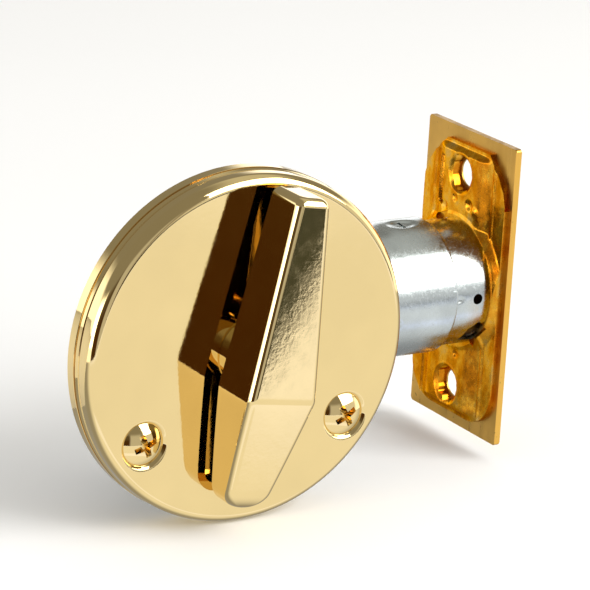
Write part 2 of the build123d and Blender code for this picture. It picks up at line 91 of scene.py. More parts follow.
FACE_LOW, FACE_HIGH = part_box("faceplate")
BACK_LOW, BACK_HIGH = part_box("backing_plate")
BOLT_LOW, BOLT_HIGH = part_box("bolt")


# ------------------------------------------------------------------ settings
class RoseSettings(bpy.types.PropertyGroup):
    """Sizes of the rose and its two screws."""

    wall: bpy.props.FloatProperty(
        name="Wall", description="Thickness of the rose's pressed sheet", default=1.2 * MM,
        unit="LENGTH")
    edge_radius: bpy.props.FloatProperty(
        name="Edge Radius", description="Radius of the rolled front edge", default=1.85 * MM,
        unit="LENGTH")
    groove_depth: bpy.props.FloatProperty(
        name="Groove Depth", description="Depth of the two grooves round the side",
        default=0.16 * MM, unit="LENGTH")
    groove_width: bpy.props.FloatProperty(
        name="Groove Width", description="Width of the two grooves round the side",
        default=0.42 * MM, unit="LENGTH")
    band_step: bpy.props.FloatProperty(
        name="Band Step", description="How far the front band lies in from the rear rim",
        default=0.25 * MM, unit="LENGTH")
    middle_hole: bpy.props.FloatProperty(
        name="Middle Hole", description="Radius of the hole for the thumbturn's shaft",
        default=5.08 * MM, unit="LENGTH")
    dimple_radius: bpy.props.FloatProperty(
        name="Dimple Radius", description="Radius of the sunk place of each screw",
        default=4.35 * MM, unit="LENGTH")
    screw_spacing: bpy.props.FloatProperty(
        name="Screw Spacing", description="Distance between the two rose screws",
        default=40.3 * MM, unit="LENGTH")
    screw_drop: bpy.props.FloatProperty(
        name="Screw Drop", description="How far the screws lie below the turning axis",
        default=14.37 * MM, unit="LENGTH")
    screw_bore: bpy.props.FloatProperty(
        name="Screw Bore", description="Radius of the screw holes", default=2.2 * MM,
        unit="LENGTH")
    head_radius: bpy.props.FloatProperty(
        name="Head Radius", description="Radius of a screw's oval head", default=3.85 * MM,
        unit="LENGTH")
    head_dome: bpy.props.FloatProperty(
        name="Head Dome", description="Height of a screw's dome over its rim", default=1.2 * MM,
        unit="LENGTH")
    head_sunk: bpy.props.FloatProperty(
        name="Head Sunk", description="Depth of a screw's rim under the rose's face",
        default=0.5 * MM, unit="LENGTH")


class ThumbturnSettings(bpy.types.PropertyGroup):
    """Sizes of the thumbturn."""

    lean: bpy.props.FloatProperty(
        name="Lean", description="Angle past upright with the bolt drawn in",
        default=math.radians(8.8), subtype="ANGLE", unit="ROTATION")
    gap: bpy.props.FloatProperty(
        name="Gap", description="Space between the rose and the blade", default=2.5 * MM,
        unit="LENGTH")
    top: bpy.props.FloatProperty(
        name="Top", description="Blade's top end above the axis", default=30.2 * MM, unit="LENGTH")
    middle: bpy.props.FloatProperty(
        name="Widest Place", description="Blade's widest place from the axis", default=-5.1 * MM,
        unit="LENGTH")
    bottom: bpy.props.FloatProperty(
        name="Bottom", description="Blade's bottom end from the axis", default=-26.2 * MM,
        unit="LENGTH")
    top_half: bpy.props.FloatProperty(
        name="Top Half Width", description="Half the blade's width at its top", default=3.2 * MM,
        unit="LENGTH")
    middle_half: bpy.props.FloatProperty(
        name="Widest Half Width", description="Half the blade's width at its widest",
        default=6.8 * MM, unit="LENGTH")
    bottom_half: bpy.props.FloatProperty(
        name="Bottom Half Width", description="Half the blade's width at its bottom",
        default=4.0 * MM, unit="LENGTH")
    top_depth: bpy.props.FloatProperty(
        name="Top Depth", description="Blade's depth at its top", default=8.7 * MM, unit="LENGTH")
    middle_depth: bpy.props.FloatProperty(
        name="Widest Depth", description="Blade's depth at its widest place", default=10.7 * MM,
        unit="LENGTH")
    bottom_depth: bpy.props.FloatProperty(
        name="Bottom Depth", description="Blade's depth at its bottom", default=5.0 * MM,
        unit="LENGTH")
    belly: bpy.props.FloatProperty(
        name="Belly", description="How far the lower outline swells past straight",
        default=0.15 * MM, unit="LENGTH")
    edge: bpy.props.FloatProperty(
        name="Edge Radius", description="Rounding of the blade's front edges", default=1.3 * MM,
        unit="LENGTH")
    top_corner: bpy.props.FloatProperty(
        name="Top Corner", description="Rounding of the top end's corners", default=1.5 * MM,
        unit="LENGTH")
    bottom_corner: bpy.props.FloatProperty(
        name="Bottom Corner", description="Rounding of the bottom end's corners", default=3.2 * MM,
        unit="LENGTH")
    wall: bpy.props.FloatProperty(
        name="Wall", description="Thickness of the hollow blade", default=1.5 * MM, unit="LENGTH")
    boss: bpy.props.FloatProperty(
        name="Boss Radius", description="Radius of the shoulder under the blade", default=6.4 * MM,
        unit="LENGTH")
    core: bpy.props.FloatProperty(
        name="Core Radius", description="Radius of the boss within the blade", default=5.2 * MM,
        unit="LENGTH")
    shaft: bpy.props.FloatProperty(
        name="Shaft Radius", description="Radius of the shaft in the rose", default=5.0 * MM,
        unit="LENGTH")


class TubeSettings(bpy.types.PropertyGroup):
    """Sizes of the rear housing and the front sleeve."""

    wall: bpy.props.FloatProperty(
        name="Wall", description="Thickness of both tubes", default=0.8 * MM, unit="LENGTH")
    crank_slot: bpy.props.FloatProperty(
        name="Crank Slot", description="Half the width of the slot under the hub",
        default=4.2 * MM, unit="LENGTH")
    slot_front: bpy.props.FloatProperty(
        name="Slot Front", description="Front end of the slot under the hub", default=-40.9 * MM,
        unit="LENGTH")
    bush_hole: bpy.props.FloatProperty(
        name="Bush Hole", description="Radius of the hub bushes' holes", default=6.2 * MM,
        unit="LENGTH")
    scoop_depth: bpy.props.FloatProperty(
        name="Scoop Depth", description="Depth of the pressed scoop on top", default=0.45 * MM,
        unit="LENGTH")
    detent_hole: bpy.props.FloatProperty(
        name="Detent Hole", description="Radius of the small hole near the faceplate",
        default=1.0 * MM, unit="LENGTH")


class PlateSettings(bpy.types.PropertyGroup):
    """Sizes of the faceplate and its backing plate."""

    screw_spacing: bpy.props.FloatProperty(
        name="Screw Spacing", description="Distance between the two faceplate screws",
        default=41.3 * MM, unit="LENGTH")
    hole_radius: bpy.props.FloatProperty(
        name="Hole Radius", description="Radius of the screw holes", default=2.6 * MM,
        unit="LENGTH")
    sink_radius: bpy.props.FloatProperty(
        name="Sink Radius", description="Radius of the countersinks", default=4.1 * MM,
        unit="LENGTH")
    edge: bpy.props.FloatProperty(
        name="Edge", description="Rounding of the faceplate's edges", default=0.15 * MM,
        unit="LENGTH")
    sheet: bpy.props.FloatProperty(
        name="Backing Sheet", description="Height of the backing plate's flat border",
        default=1.0 * MM, unit="LENGTH")
    raised: bpy.props.FloatProperty(
        name="Raised Panel", description="Height of the pressed panel over the border",
        default=1.1 * MM, unit="LENGTH")
    panel_half: bpy.props.FloatProperty(
        name="Panel Half Width", description="Half the width of the pressed panel",
        default=7.2 * MM, unit="LENGTH")


class FinishSettings(bpy.types.PropertyGroup):
    """Colours of the metals."""

    polished_brass: bpy.props.FloatVectorProperty(
        name="Polished Brass", description="Colour of the polished brass", subtype="COLOR", size=4,
        default=(0.81, 0.625, 0.295, 1.0), min=0.0, max=1.0)
    face_brass: bpy.props.FloatVectorProperty(
        name="Faceplate Brass", description="Colour of the satin faceplate", subtype="COLOR",
        size=4, default=(0.54, 0.31, 0.062, 1.0), min=0.0, max=1.0)
    passivated: bpy.props.FloatVectorProperty(
        name="Passivated Steel", description="Orange gold of the backing plate", subtype="COLOR",
        size=4, default=(0.60, 0.205, 0.008, 1.0), min=0.0, max=1.0)
    zinc: bpy.props.FloatVectorProperty(
        name="Zinc Plating", description="Colour of the zinc plated tubes", subtype="COLOR",
        size=4, default=(0.52, 0.56, 0.55, 1.0), min=0.0, max=1.0)
    steel: bpy.props.FloatVectorProperty(
        name="Bare Steel", description="Colour of the inner steel pieces", subtype="COLOR", size=4,
        default=(0.42, 0.42, 0.43, 1.0), min=0.0, max=1.0)
    nylon: bpy.props.FloatVectorProperty(
        name="Nylon", description="Colour of the bushes and the tail guide", subtype="COLOR",
        size=4, default=(0.62, 0.60, 0.54, 1.0), min=0.0, max=1.0)


class StudioSettings(bpy.types.PropertyGroup):
    """Floor, lights and camera."""

    floor_front: bpy.props.FloatProperty(
        name="Floor Front", description="How far the floor reaches in front of the lock",
        default=2.5, unit="LENGTH")
    floor_back: bpy.props.FloatProperty(
        name="Floor Back", description="How far the floor reaches behind the lock", default=3.0,
        unit="LENGTH")
    softbox_power: bpy.props.FloatProperty(
        name="Softbox Power", description="Power of the overhead softbox in watts", default=13.0,
        min=0.0)
    fill_power: bpy.props.FloatProperty(
        name="Fill Power", description="Power of the wide fill over the paper in watts",
        default=9.0, min=0.0)
    sky: bpy.props.FloatProperty(
        name="Sweep Brightness", description="Brightness of the white sweep behind", default=1.8,
        min=0.0)
    table: bpy.props.FloatProperty(
        name="Table Brightness",
        description="Brightness of the white table in front, as the brass shows it", default=1.06,
        min=0.0)
    lens: bpy.props.FloatProperty(
        name="Lens", description="Focal length on a 36 mm sensor, in millimetres", default=190.45)


class DeadboltSettings(bpy.types.PropertyGroup):
    """All settings of the deadbolt and its studio."""

    rose: bpy.props.PointerProperty(type=RoseSettings)
    thumbturn: bpy.props.PointerProperty(type=ThumbturnSettings)
    tube: bpy.props.PointerProperty(type=TubeSettings)
    plate: bpy.props.PointerProperty(type=PlateSettings)
    finish: bpy.props.PointerProperty(type=FinishSettings)
    studio: bpy.props.PointerProperty(type=StudioSettings)


# ------------------------------------------------------------------ mesh tools
def on_door(across, up, height):
    """A point over the door face: across and up from the turning axis, height towards the room."""
    return Vector((HUB_X + across, DOOR_Y - height, up))


def on_tube(x, angle, radius):
    """A point round the bolt's axis; the angle rises from the room side towards +Z."""
    return Vector((x, -radius * math.cos(angle), radius * math.sin(angle)))


def turned(across, up, angle):
    """A place over the door face turned clockwise, as seen from the room."""
    cos, sin = math.cos(angle), math.sin(angle)
    return across * cos + up * sin, up * cos - across * sin


def ease(value, low, high):
    """A smooth step from 0 at low to 1 at high."""
    t = min(1.0, max(0.0, (value - low) / (high - low)))
    return t * t * (3 - 2 * t)


def full_turn(count):
    """Angles of a full turn in equal steps."""
    return [2 * math.pi * i / count for i in range(count)]


def quarter_turn(steps):
    """Angles from 0 to a quarter turn, both ends among them."""
    return [math.pi / 2 * i / steps for i in range(steps + 1)]


def skin(bm, rings, loop=False):
    """Quads between rows of points, each row a closed ring or a single point."""
    rows = [[bm.verts.new(point) for point in ring] for ring in rings]
    pairs = list(zip(rows, rows[1:]))
    if loop:
        pairs.append((rows[-1], rows[0]))
    for low, high in pairs:
        count = max(len(low), len(high))
        for i in range(count):
            j = (i + 1) % count
            corners = list(dict.fromkeys((
                low[i % len(low)], low[j % len(low)], high[j % len(high)], high[i % len(high)])))
            if len(corners) > 2:
                bm.faces.new(corners)
    return rows


def turned_rings(profile, place, segments):
    """Rings from (radius, height) pairs, with a single point where there is no radius."""
    return [
        [place(radius * math.cos(angle), radius * math.sin(angle), height)
         for angle in full_turn(segments if radius > NOTHING else 1)]
        for radius, height in profile
    ]


def lathe(bm, profile, place, segments, loop=False):
    """A turned shape from (radius, height) pairs; place puts (across, up, height) in the frame."""
    skin(bm, turned_rings(profile, place, segments), loop)


def prism(bm, outline, low, high, place, shrink=1.0):
    """A solid between two copies of an outline; the upper may be drawn in about its origin."""
    lower = [bm.verts.new(place(u, v, low)) for u, v in outline]
    upper = [bm.verts.new(place(u * shrink, v * shrink, high)) for u, v in outline]
    bm.faces.new(lower)
    bm.faces.new(upper)
    for i, corner in enumerate(lower):
        j = (i + 1) % len(lower)
        bm.faces.new((corner, lower[j], upper[j], upper[i]))


def to_object(name, bm):
    """Link a finished bmesh as an object."""
    bmesh.ops.recalc_face_normals(bm, faces=bm.faces)
    mesh = bpy.data.meshes.new(name)
    bm.to_mesh(mesh)
    bm.free()
    made = bpy.data.objects.new(name, mesh)
    bpy.context.scene.collection.objects.link(made)
    return made


def combine(piece, tool, operation):
    """Cut or join a piece with a tool object, and take the tool away."""
    step = piece.modifiers.new("Combine", "BOOLEAN")
    step.object = tool
    step.operation = operation
    step.solver = "EXACT"
    depsgraph = bpy.context.evaluated_depsgraph_get()
    mesh = bpy.data.meshes.new_from_object(piece.evaluated_get(depsgraph))
    piece.modifiers.clear()
    piece.data = mesh
    bpy.data.objects.remove(tool)
    if not mesh.polygons:
        raise RuntimeError(f"{piece.name} lost its faces")


def cut_lathe(piece, profile, place, segments=64):
    """Take a turned shape out of a piece."""
    bm = bmesh.new()
    lathe(bm, profile, place, segments)
    combine(piece, to_object("tool", bm), "DIFFERENCE")


def cut_prism(piece, outline, low, high, place, shrink=1.0):
    """Take a prism out of a piece."""
    bm = bmesh.new()
    prism(bm, outline, low, high, place, shrink)
    combine(piece, to_object("tool", bm), "DIFFERENCE")


def rectangle(half_u, half_v, u=0.0, v=0.0):
    """Corners of a rectangle about a place."""
    left, right, low, high = u - half_u, u + half_u, v - half_v, v + half_v
    return [(left, low), (right, low), (right, high), (left, high)]


def circle(radius, count, u=0.0):
    """Points of a circle about a place on the first axis."""
    return [(u + radius * math.cos(a), radius * math.sin(a)) for a in full_turn(count)]


def dress(piece, body, slot, node, sharp=30.0):
    """Smooth shading, material and frame facts of a finished piece; sharp is in degrees."""
    piece.data.shade_smooth()
    piece.data.set_sharp_from_angle(angle=math.radians(sharp))
    even = piece.modifiers.new("Even Normals", "WEIGHTED_NORMAL")
    even.keep_sharp = True
    piece.data.materials.clear()
    piece.data.materials.append(finish_named(slot))
    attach(piece, body)
    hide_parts(node)


# ------------------------------------------------------------------ finishes
class Nodes:
    """Adds shader nodes to a tree and links them."""

    def __init__(self, tree):
        self.nodes, self.links = tree.nodes, tree.links

    def spread(self, value, low, high, to_low, to_high):
        """Map a value smoothly from one range to another."""
        node = self.nodes.new("ShaderNodeMapRange")
        node.interpolation_type = "SMOOTHSTEP"
        node.inputs["From Min"].default_value = low
        node.inputs["From Max"].default_value = high
        node.inputs["To Min"].default_value = to_low
        node.inputs["To Max"].default_value = to_high
        self.links.new(value, node.inputs["Value"])
        return node.outputs["Result"]

    def maths(self, operation, first, second):
        """Join two values by an operation of the Math node."""
        node = self.nodes.new("ShaderNodeMath")
        node.operation = operation
        self.links.new(first, node.inputs[0])
        self.links.new(second, node.inputs[1])
        return node.outputs["Value"]

    def blend(self, factor, first, second):
        """Mix two colours, each a socket or a colour."""
        node = self.nodes.new("ShaderNodeMix")
        node.data_type = "RGBA"
        self.links.new(factor, node.inputs["Factor"])
        for colour, number in ((first, MIX_FIRST), (second, MIX_SECOND)):
            if isinstance(colour, bpy.types.NodeSocket):
                self.links.new(colour, node.inputs[number])
            else:
                node.inputs[number].default_value = colour
        return node.outputs[MIX_RESULT]

    def parts(self, vector):
        """The three coordinates of a vector."""
        node = self.nodes.new("ShaderNodeSeparateXYZ")
        self.links.new(vector, node.inputs["Vector"])
        return node.outputs["X"], node.outputs["Y"], node.outputs["Z"]


class Finish(Nodes):
    """A procedural material with its nodes ready to link."""

    def __init__(self, name, metallic=1.0):
        self.material = bpy.data.materials.new(name)
        self.material.use_nodes = True
        super().__init__(self.material.node_tree)
        self.shader = self.nodes["Principled BSDF"]
        self.shader.inputs["Metallic"].default_value = metallic
        self.place = self.nodes.new("ShaderNodeTexCoord").outputs["Object"]

    def stretched(self, x, y, z):
        """Object coordinates stretched along the axes."""
        node = self.nodes.new("ShaderNodeMapping")
        node.inputs["Scale"].default_value = (x, y, z)
        self.links.new(self.place, node.inputs["Vector"])
        return node.outputs["Vector"]

    def grain(self, scale, detail=4.0, roughness=0.55, vector=None):
        """Noise in the metal, scale in grains per metre."""
        node = self.nodes.new("ShaderNodeTexNoise")
        node.inputs["Scale"].default_value = scale
        node.inputs["Detail"].default_value = detail
        node.inputs["Roughness"].default_value = roughness
        self.links.new(vector or self.place, node.inputs["Vector"])
        return node.outputs["Fac"]

    def ramp(self, factor, *stops):
        """Colours at stops along a factor."""
        node = self.nodes.new("ShaderNodeValToRGB")
        elements = node.color_ramp.elements
        while len(elements) < len(stops):
            elements.new(0.5)
        for element, (position, colour) in zip(elements, stops):
            element.position = position
            element.color = colour
        self.links.new(factor, node.inputs["Fac"])
        return node.outputs["Color"]

    def from_axis(self):
        """Distance of the place from the bolt's axis, in metres."""
        node = self.nodes.new("ShaderNodeVectorMath")
        node.operation = "LENGTH"
        self.links.new(self.stretched(0.0, 1.0, 1.0), node.inputs[0])
        return node.outputs["Value"]

    def relief(self, height, distance, strength=1.0):
        """Bump the surface, on top of any bump it has."""
        node = self.nodes.new("ShaderNodeBump")
        node.inputs["Strength"].default_value = strength
        node.inputs["Distance"].default_value = distance
        self.links.new(height, node.inputs["Height"])
        normal = self.shader.inputs["Normal"]
        if normal.is_linked:
            self.links.new(normal.links[0].from_socket, node.inputs["Normal"])
        self.links.new(node.outputs["Normal"], normal)

    def colour(self, socket):
        """Feed the base colour."""
        self.links.new(socket, self.shader.inputs["Base Color"])

    def roughness(self, socket):
        """Feed the roughness."""
        self.links.new(socket, self.shader.inputs["Roughness"])


def grey(value):
    """A grey, which may be brighter than white where it stands for light."""
    return value, value, value, 1.0


def shade(colour, factor):
    """A colour made lighter or darker."""
    return (*(min(1.0, channel * factor) for channel in colour[:3]), 1.0)


def polished_brass(colour):
    """Lacquered mirror brass with faint orange peel and buffing."""
    made = Finish("polished_brass_finish")
    clouds = made.grain(70.0, detail=2.0)
    made.colour(made.ramp(clouds, (0.35, shade(colour, 0.97)), (0.65, shade(colour, 1.02))))
    made.roughness(made.spread(made.grain(420.0), 0.3, 0.7, 0.03, 0.065))
    made.relief(made.grain(260.0, detail=2.0), 0.012 * MM, 0.30)
    made.relief(made.grain(1100.0, detail=4.0), 0.008 * MM, 0.5)
    return made.material


def face_brass(colour):
    """Satin brass, ground along the plate, with a few specks and a painted highlight along its
    room-side edge.
    """
    made = Finish("face_brass_finish")
    lines = made.grain(700.0, detail=5.0, vector=made.stretched(1.0, 1.0, 0.08))
    clouds = made.grain(90.0, detail=3.0)
    base = made.ramp(clouds, (0.3, shade(colour, 0.86)), (0.7, shade(colour, 1.16)))
    across = made.parts(made.place)[1]
    # painted highlight: the room-side edge of the plate is drawn lighter, as if it caught the
    # light
    edge = made.spread(across, FACE_LOW.y + 0.05 * MM, FACE_LOW.y + 0.25 * MM, 1.0, 0.0)
    base = made.blend(edge, base, shade(colour, 1.55))
    specks = made.spread(made.grain(900.0, detail=1.0), 0.70, 0.76, 0.0, 0.7)
    made.colour(made.blend(specks, base, shade(colour, 0.3)))
    made.roughness(made.spread(lines, 0.3, 0.7, 0.26, 0.44))
    made.relief(lines, 0.02 * MM, 0.35)
    return made.material


def passivated_steel(colour):
    """Yellow passivated pressing with grey gold smears."""
    made = Finish("passivated_steel_finish")
    smears = made.grain(260.0, detail=6.0, roughness=0.62, vector=made.stretched(1.0, 1.0, 0.55))
    gold, grey_gold = (0.74, 0.36, 0.028, 1.0), (0.50, 0.36, 0.13, 1.0)
    made.colour(made.ramp(
        smears, (0.30, shade(colour, 0.62)), (0.46, colour), (0.58, gold), (0.74, grey_gold)))
    made.roughness(made.spread(made.grain(800.0, detail=5.0), 0.3, 0.7, 0.16, 0.34))
    made.relief(made.grain(420.0, detail=4.0), 0.05 * MM, 0.4)
    made.shader.inputs["Specular Tint"].default_value = (1.0, 0.72, 0.34, 1.0)
    return made.material


def zinc_plated(colour):
    """Bright zinc with a fine crystalline grain, tinted near the faceplate, with painted shade
    near black inside the tubes.
    """
    made = Finish("zinc_plated_steel_finish")
    crystals = made.grain(1500.0, detail=6.0, roughness=0.75)
    clouds = made.grain(180.0, detail=4.0)
    base = made.ramp(clouds, (0.3, shade(colour, 0.90)), (0.7, shade(colour, 1.10)))
    along = made.parts(made.place)[0]
    near = made.spread(along, -7.5 * MM, -1.5 * MM, 0.0, 1.0)
    patchy = made.maths("MULTIPLY", near, made.spread(clouds, 0.45, 0.65, 0.0, 0.5))
    base = made.blend(patchy, base, (0.62, 0.40, 0.16, 1.0))
    # painted shade: everything inside the sleeve's wall, near the bolt's axis, is drawn near black
    # for the shade inside the tubes
    within = made.spread(
        made.from_axis(), SLEEVE_R - 0.7 * MM, SLEEVE_R - 0.2 * MM, 0.9, 0.0)
    made.colour(made.blend(within, base, (0.03, 0.028, 0.025, 1.0)))
    made.roughness(made.spread(crystals, 0.3, 0.7, 0.15, 0.30))
    made.relief(crystals, 0.02 * MM, 0.5)
    return made.material


def bare_steel(colour, name="bare_steel_finish"):
    """Stamped steel with drawn lines and faint oil stains."""
    made = Finish(name)
    lines = made.grain(900.0, detail=5.0, vector=made.stretched(0.15, 1.0, 1.0))
    stains = made.grain(160.0, detail=5.0)
    oiled = (0.40, 0.33, 0.26, 1.0)
    made.colour(made.ramp(stains, (0.3, shade(colour, 0.7)), (0.55, colour), (0.8, oiled)))
    made.roughness(made.spread(lines, 0.3, 0.7, 0.25, 0.48))
    made.relief(lines, 0.02 * MM, 0.5)
    return made.material


def moulded_nylon(colour):
    """Natural nylon with a fine moulded skin."""
    made = Finish("nylon_finish", metallic=0.0)
    clouds = made.grain(140.0, detail=3.0)
    made.colour(made.ramp(clouds, (0.3, shade(colour, 0.92)), (0.7, shade(colour, 1.05))))
    made.roughness(made.spread(made.grain(900.0), 0.3, 0.7, 0.38, 0.55))
    made.relief(made.grain(2000.0), 0.02 * MM, 0.4)
    made.shader.inputs["Subsurface Weight"].default_value = 0.15
    made.shader.inputs["Subsurface Radius"].default_value = (1.0 * MM, 0.8 * MM, 0.6 * MM)
    return made.material


def finish_named(slot):
    """The material of a slot, made once."""
    found = bpy.data.materials.get(f"{slot}_finish")
    if found:
        return found
    colours = bpy.context.scene.deadbolt.finish
    makers = {
        "polished_brass": lambda: polished_brass(tuple(colours.polished_brass)),
        "face_brass": lambda: face_brass(tuple(colours.face_brass)),
        "passivated_steel": lambda: passivated_steel(tuple(colours.passivated)),
        "zinc_plated_steel": lambda: zinc_plated(tuple(colours.zinc)),
        "bare_steel": lambda: bare_steel(tuple(colours.steel)),
        "spring_steel": lambda: bare_steel(shade(colours.steel, 0.6), "spring_steel_finish"),
        "nylon": lambda: moulded_nylon(tuple(colours.nylon)),
    }
    return makers[slot]()


# ------------------------------------------------------------------ room side
class DEADBOLT_OT_rose(bpy.types.Operator):
    """Build the pressed rose with its grooves and screw dimples"""

    bl_idname = "deadbolt.rose"
    bl_label = "Rose"

    def execute(self, context):
        sizes = context.scene.deadbolt.rose
        screws = [(side * sizes.screw_spacing / 2, -sizes.screw_drop) for side in (-1, 1)]

        def pressed(across, up, height):
            sunk = 0.0
            if height >= ROSE_HEIGHT / 2:
                sunk = sum(self.dimple(sizes, math.dist((across, up), screw)) for screw in screws)
            return on_door(across, up, height - sunk)

        bm = bmesh.new()
        path = self.outer_path(sizes) + self.inner_path(sizes)[::-1]
        lathe(bm, path, pressed, segments=720, loop=True)
        piece = to_object("rose_face", bm)
        bore = sizes.screw_bore
        hole = [(0.0, 0.0), (bore, 0.0), (bore, ROSE_HEIGHT), (0.0, ROSE_HEIGHT)]
        for across, up in screws:
            cut_lathe(piece, hole, lambda u, v, h: on_door(across + u, up + v, h))
        dress(piece, "rear_section", "polished_brass", "rose")
        return {"FINISHED"}

    @staticmethod
    def dimple(sizes, distance):
        """Depth of a screw's sunk place at a distance from its middle."""
        softness, outside, inside = 0.10 * MM, -12, 40.0
        reach = (sizes.dimple_radius - distance) / softness
        if reach < outside:
            return 0.0
        sunk = softness * math.log1p(math.exp(min(reach, inside)))
        return min(sunk, sizes.dimple_radius - sizes.screw_bore)

    @staticmethod
    def flat_radii(sizes, last, step):
        """Radii over a flat: wide ones from the middle hole, then even steps up to the last."""
        radii = [sizes.middle_hole + 1.5 * MM * i for i in range(10)]
        while radii[-1] < last:
            radii.append(radii[-1] + step)
        return radii

    def outer_path(self, sizes):
        """The outside from the middle hole to the rear rim."""
        band = ROSE_R - sizes.band_step
        edge = ROSE_HEIGHT - sizes.edge_radius
        flat = band - sizes.edge_radius
        radii = self.flat_radii(sizes, flat - 0.2 * MM, 0.2 * MM)
        path = [(radius, ROSE_HEIGHT) for radius in radii]
        for angle in quarter_turn(16):
            path.append((flat + sizes.edge_radius * math.sin(angle),
                         edge + sizes.edge_radius * math.cos(angle)))
        lip = 0.06 * MM
        front_groove, rear_groove, between = 3.5 * MM, 2.3 * MM, 1.2 * MM
        bottom = band - sizes.groove_depth
        for floor, outside in ((front_groove, band), (rear_groove, ROSE_R)):
            top = floor + sizes.groove_width
            slope = sizes.band_step * (top - rear_groove) / between
            before = band if outside == band else ROSE_R - slope
            path += [
                (before, top + lip), (before - lip, top), (bottom + lip, top), (bottom, top - lip),
                (bottom, floor + lip), (bottom + lip, floor), (outside - lip, floor),
                (outside, floor - lip),
            ]
        return path + [(ROSE_R, 1.2 * MM), (ROSE_R, 0.2 * MM), (ROSE_R - 0.15 * MM, 0.0)]

    def inner_path(self, sizes):
        """The inside from the middle hole to the rear rim."""
        bore = ROSE_R - sizes.band_step - sizes.groove_depth - sizes.wall / 2
        ceiling = ROSE_HEIGHT - sizes.wall
        radii = self.flat_radii(sizes, bore - 1.2 * MM, 0.4 * MM)
        path = [(radius, ceiling) for radius in radii]
        return path + [
            (bore - 0.3 * MM, ceiling - 0.1 * MM), (bore, ceiling - 0.4 * MM), (bore, 0.0)]


class DEADBOLT_OT_rose_screws(bpy.types.Operator):
    """Build the two oval head screws of the rose"""

    bl_idname = "deadbolt.rose_screws"
    bl_label = "Rose Screws"

    def execute(self, context):
        sizes = context.scene.deadbolt.rose
        for name, side, turn in (("rose_screw_left", -1, 22.0), ("rose_screw_right", 1, 30.0)):
            middle = (side * sizes.screw_spacing / 2, -sizes.screw_drop)
            piece = self.screw(name, sizes, middle, math.radians(turn))
            dress(piece, "rear_section", "polished_brass", "rose_screws", sharp=35.0)
        return {"FINISHED"}

    @staticmethod
    def screw(name, sizes, middle, turn):
        """One screw with a tapered cross recess and a cut thread."""
        rim = ROSE_HEIGHT - sizes.head_sunk
        dome = (sizes.head_radius**2 + sizes.head_dome**2) / (2 * sizes.head_dome)
        centre = rim + sizes.head_dome - dome
        shank = 2.0 * MM
        neck = rim - (sizes.head_radius - shank)

        def place(across, up, height):
            return on_door(middle[0] + across, middle[1] + up, height)

        profile = []
        for i in range(21):
            radius = sizes.head_radius * i / 20
            profile.append((radius, centre + math.sqrt(dome**2 - radius**2)))
        profile += [(sizes.head_radius, rim - 0.15 * MM), (shank, neck), (shank, 0.0)]
        segments = 64
        rings = turned_rings(profile, place, segments)
        pitch, length, taper, steps = 0.8 * MM, 7.0 * MM, 6.0 * MM, 88
        root, crest, join = 1.36, 0.34, 0.02 * MM
        for step in range(steps + 1):
            height = -length * step / steps
            ring = []
            for i, angle in enumerate(full_turn(segments)):
                wound = (height / pitch + i / segments) % 1.0
                radius = (root + crest * (1 - abs(2 * wound - 1))) * MM
                radius -= 0.5 * MM * ease(-height, taper, length)
                ring.append(place(
                    radius * math.cos(angle), radius * math.sin(angle), height - join))
            rings.append(ring)
        rings.append([place(0.0, 0.0, -length)])
        bm = bmesh.new()
        skin(bm, rings)
        piece = to_object(name, bm)
        top = rim + sizes.head_dome
        arm = rectangle(2.45 * MM, 0.60 * MM)
        for angle in (turn, turn + math.pi / 2):
            outline = [turned(u, v, -angle) for u, v in arm]
            cut_prism(piece, outline, top + 0.2 * MM, top - 1.9 * MM, place, shrink=0.5)
        return piece


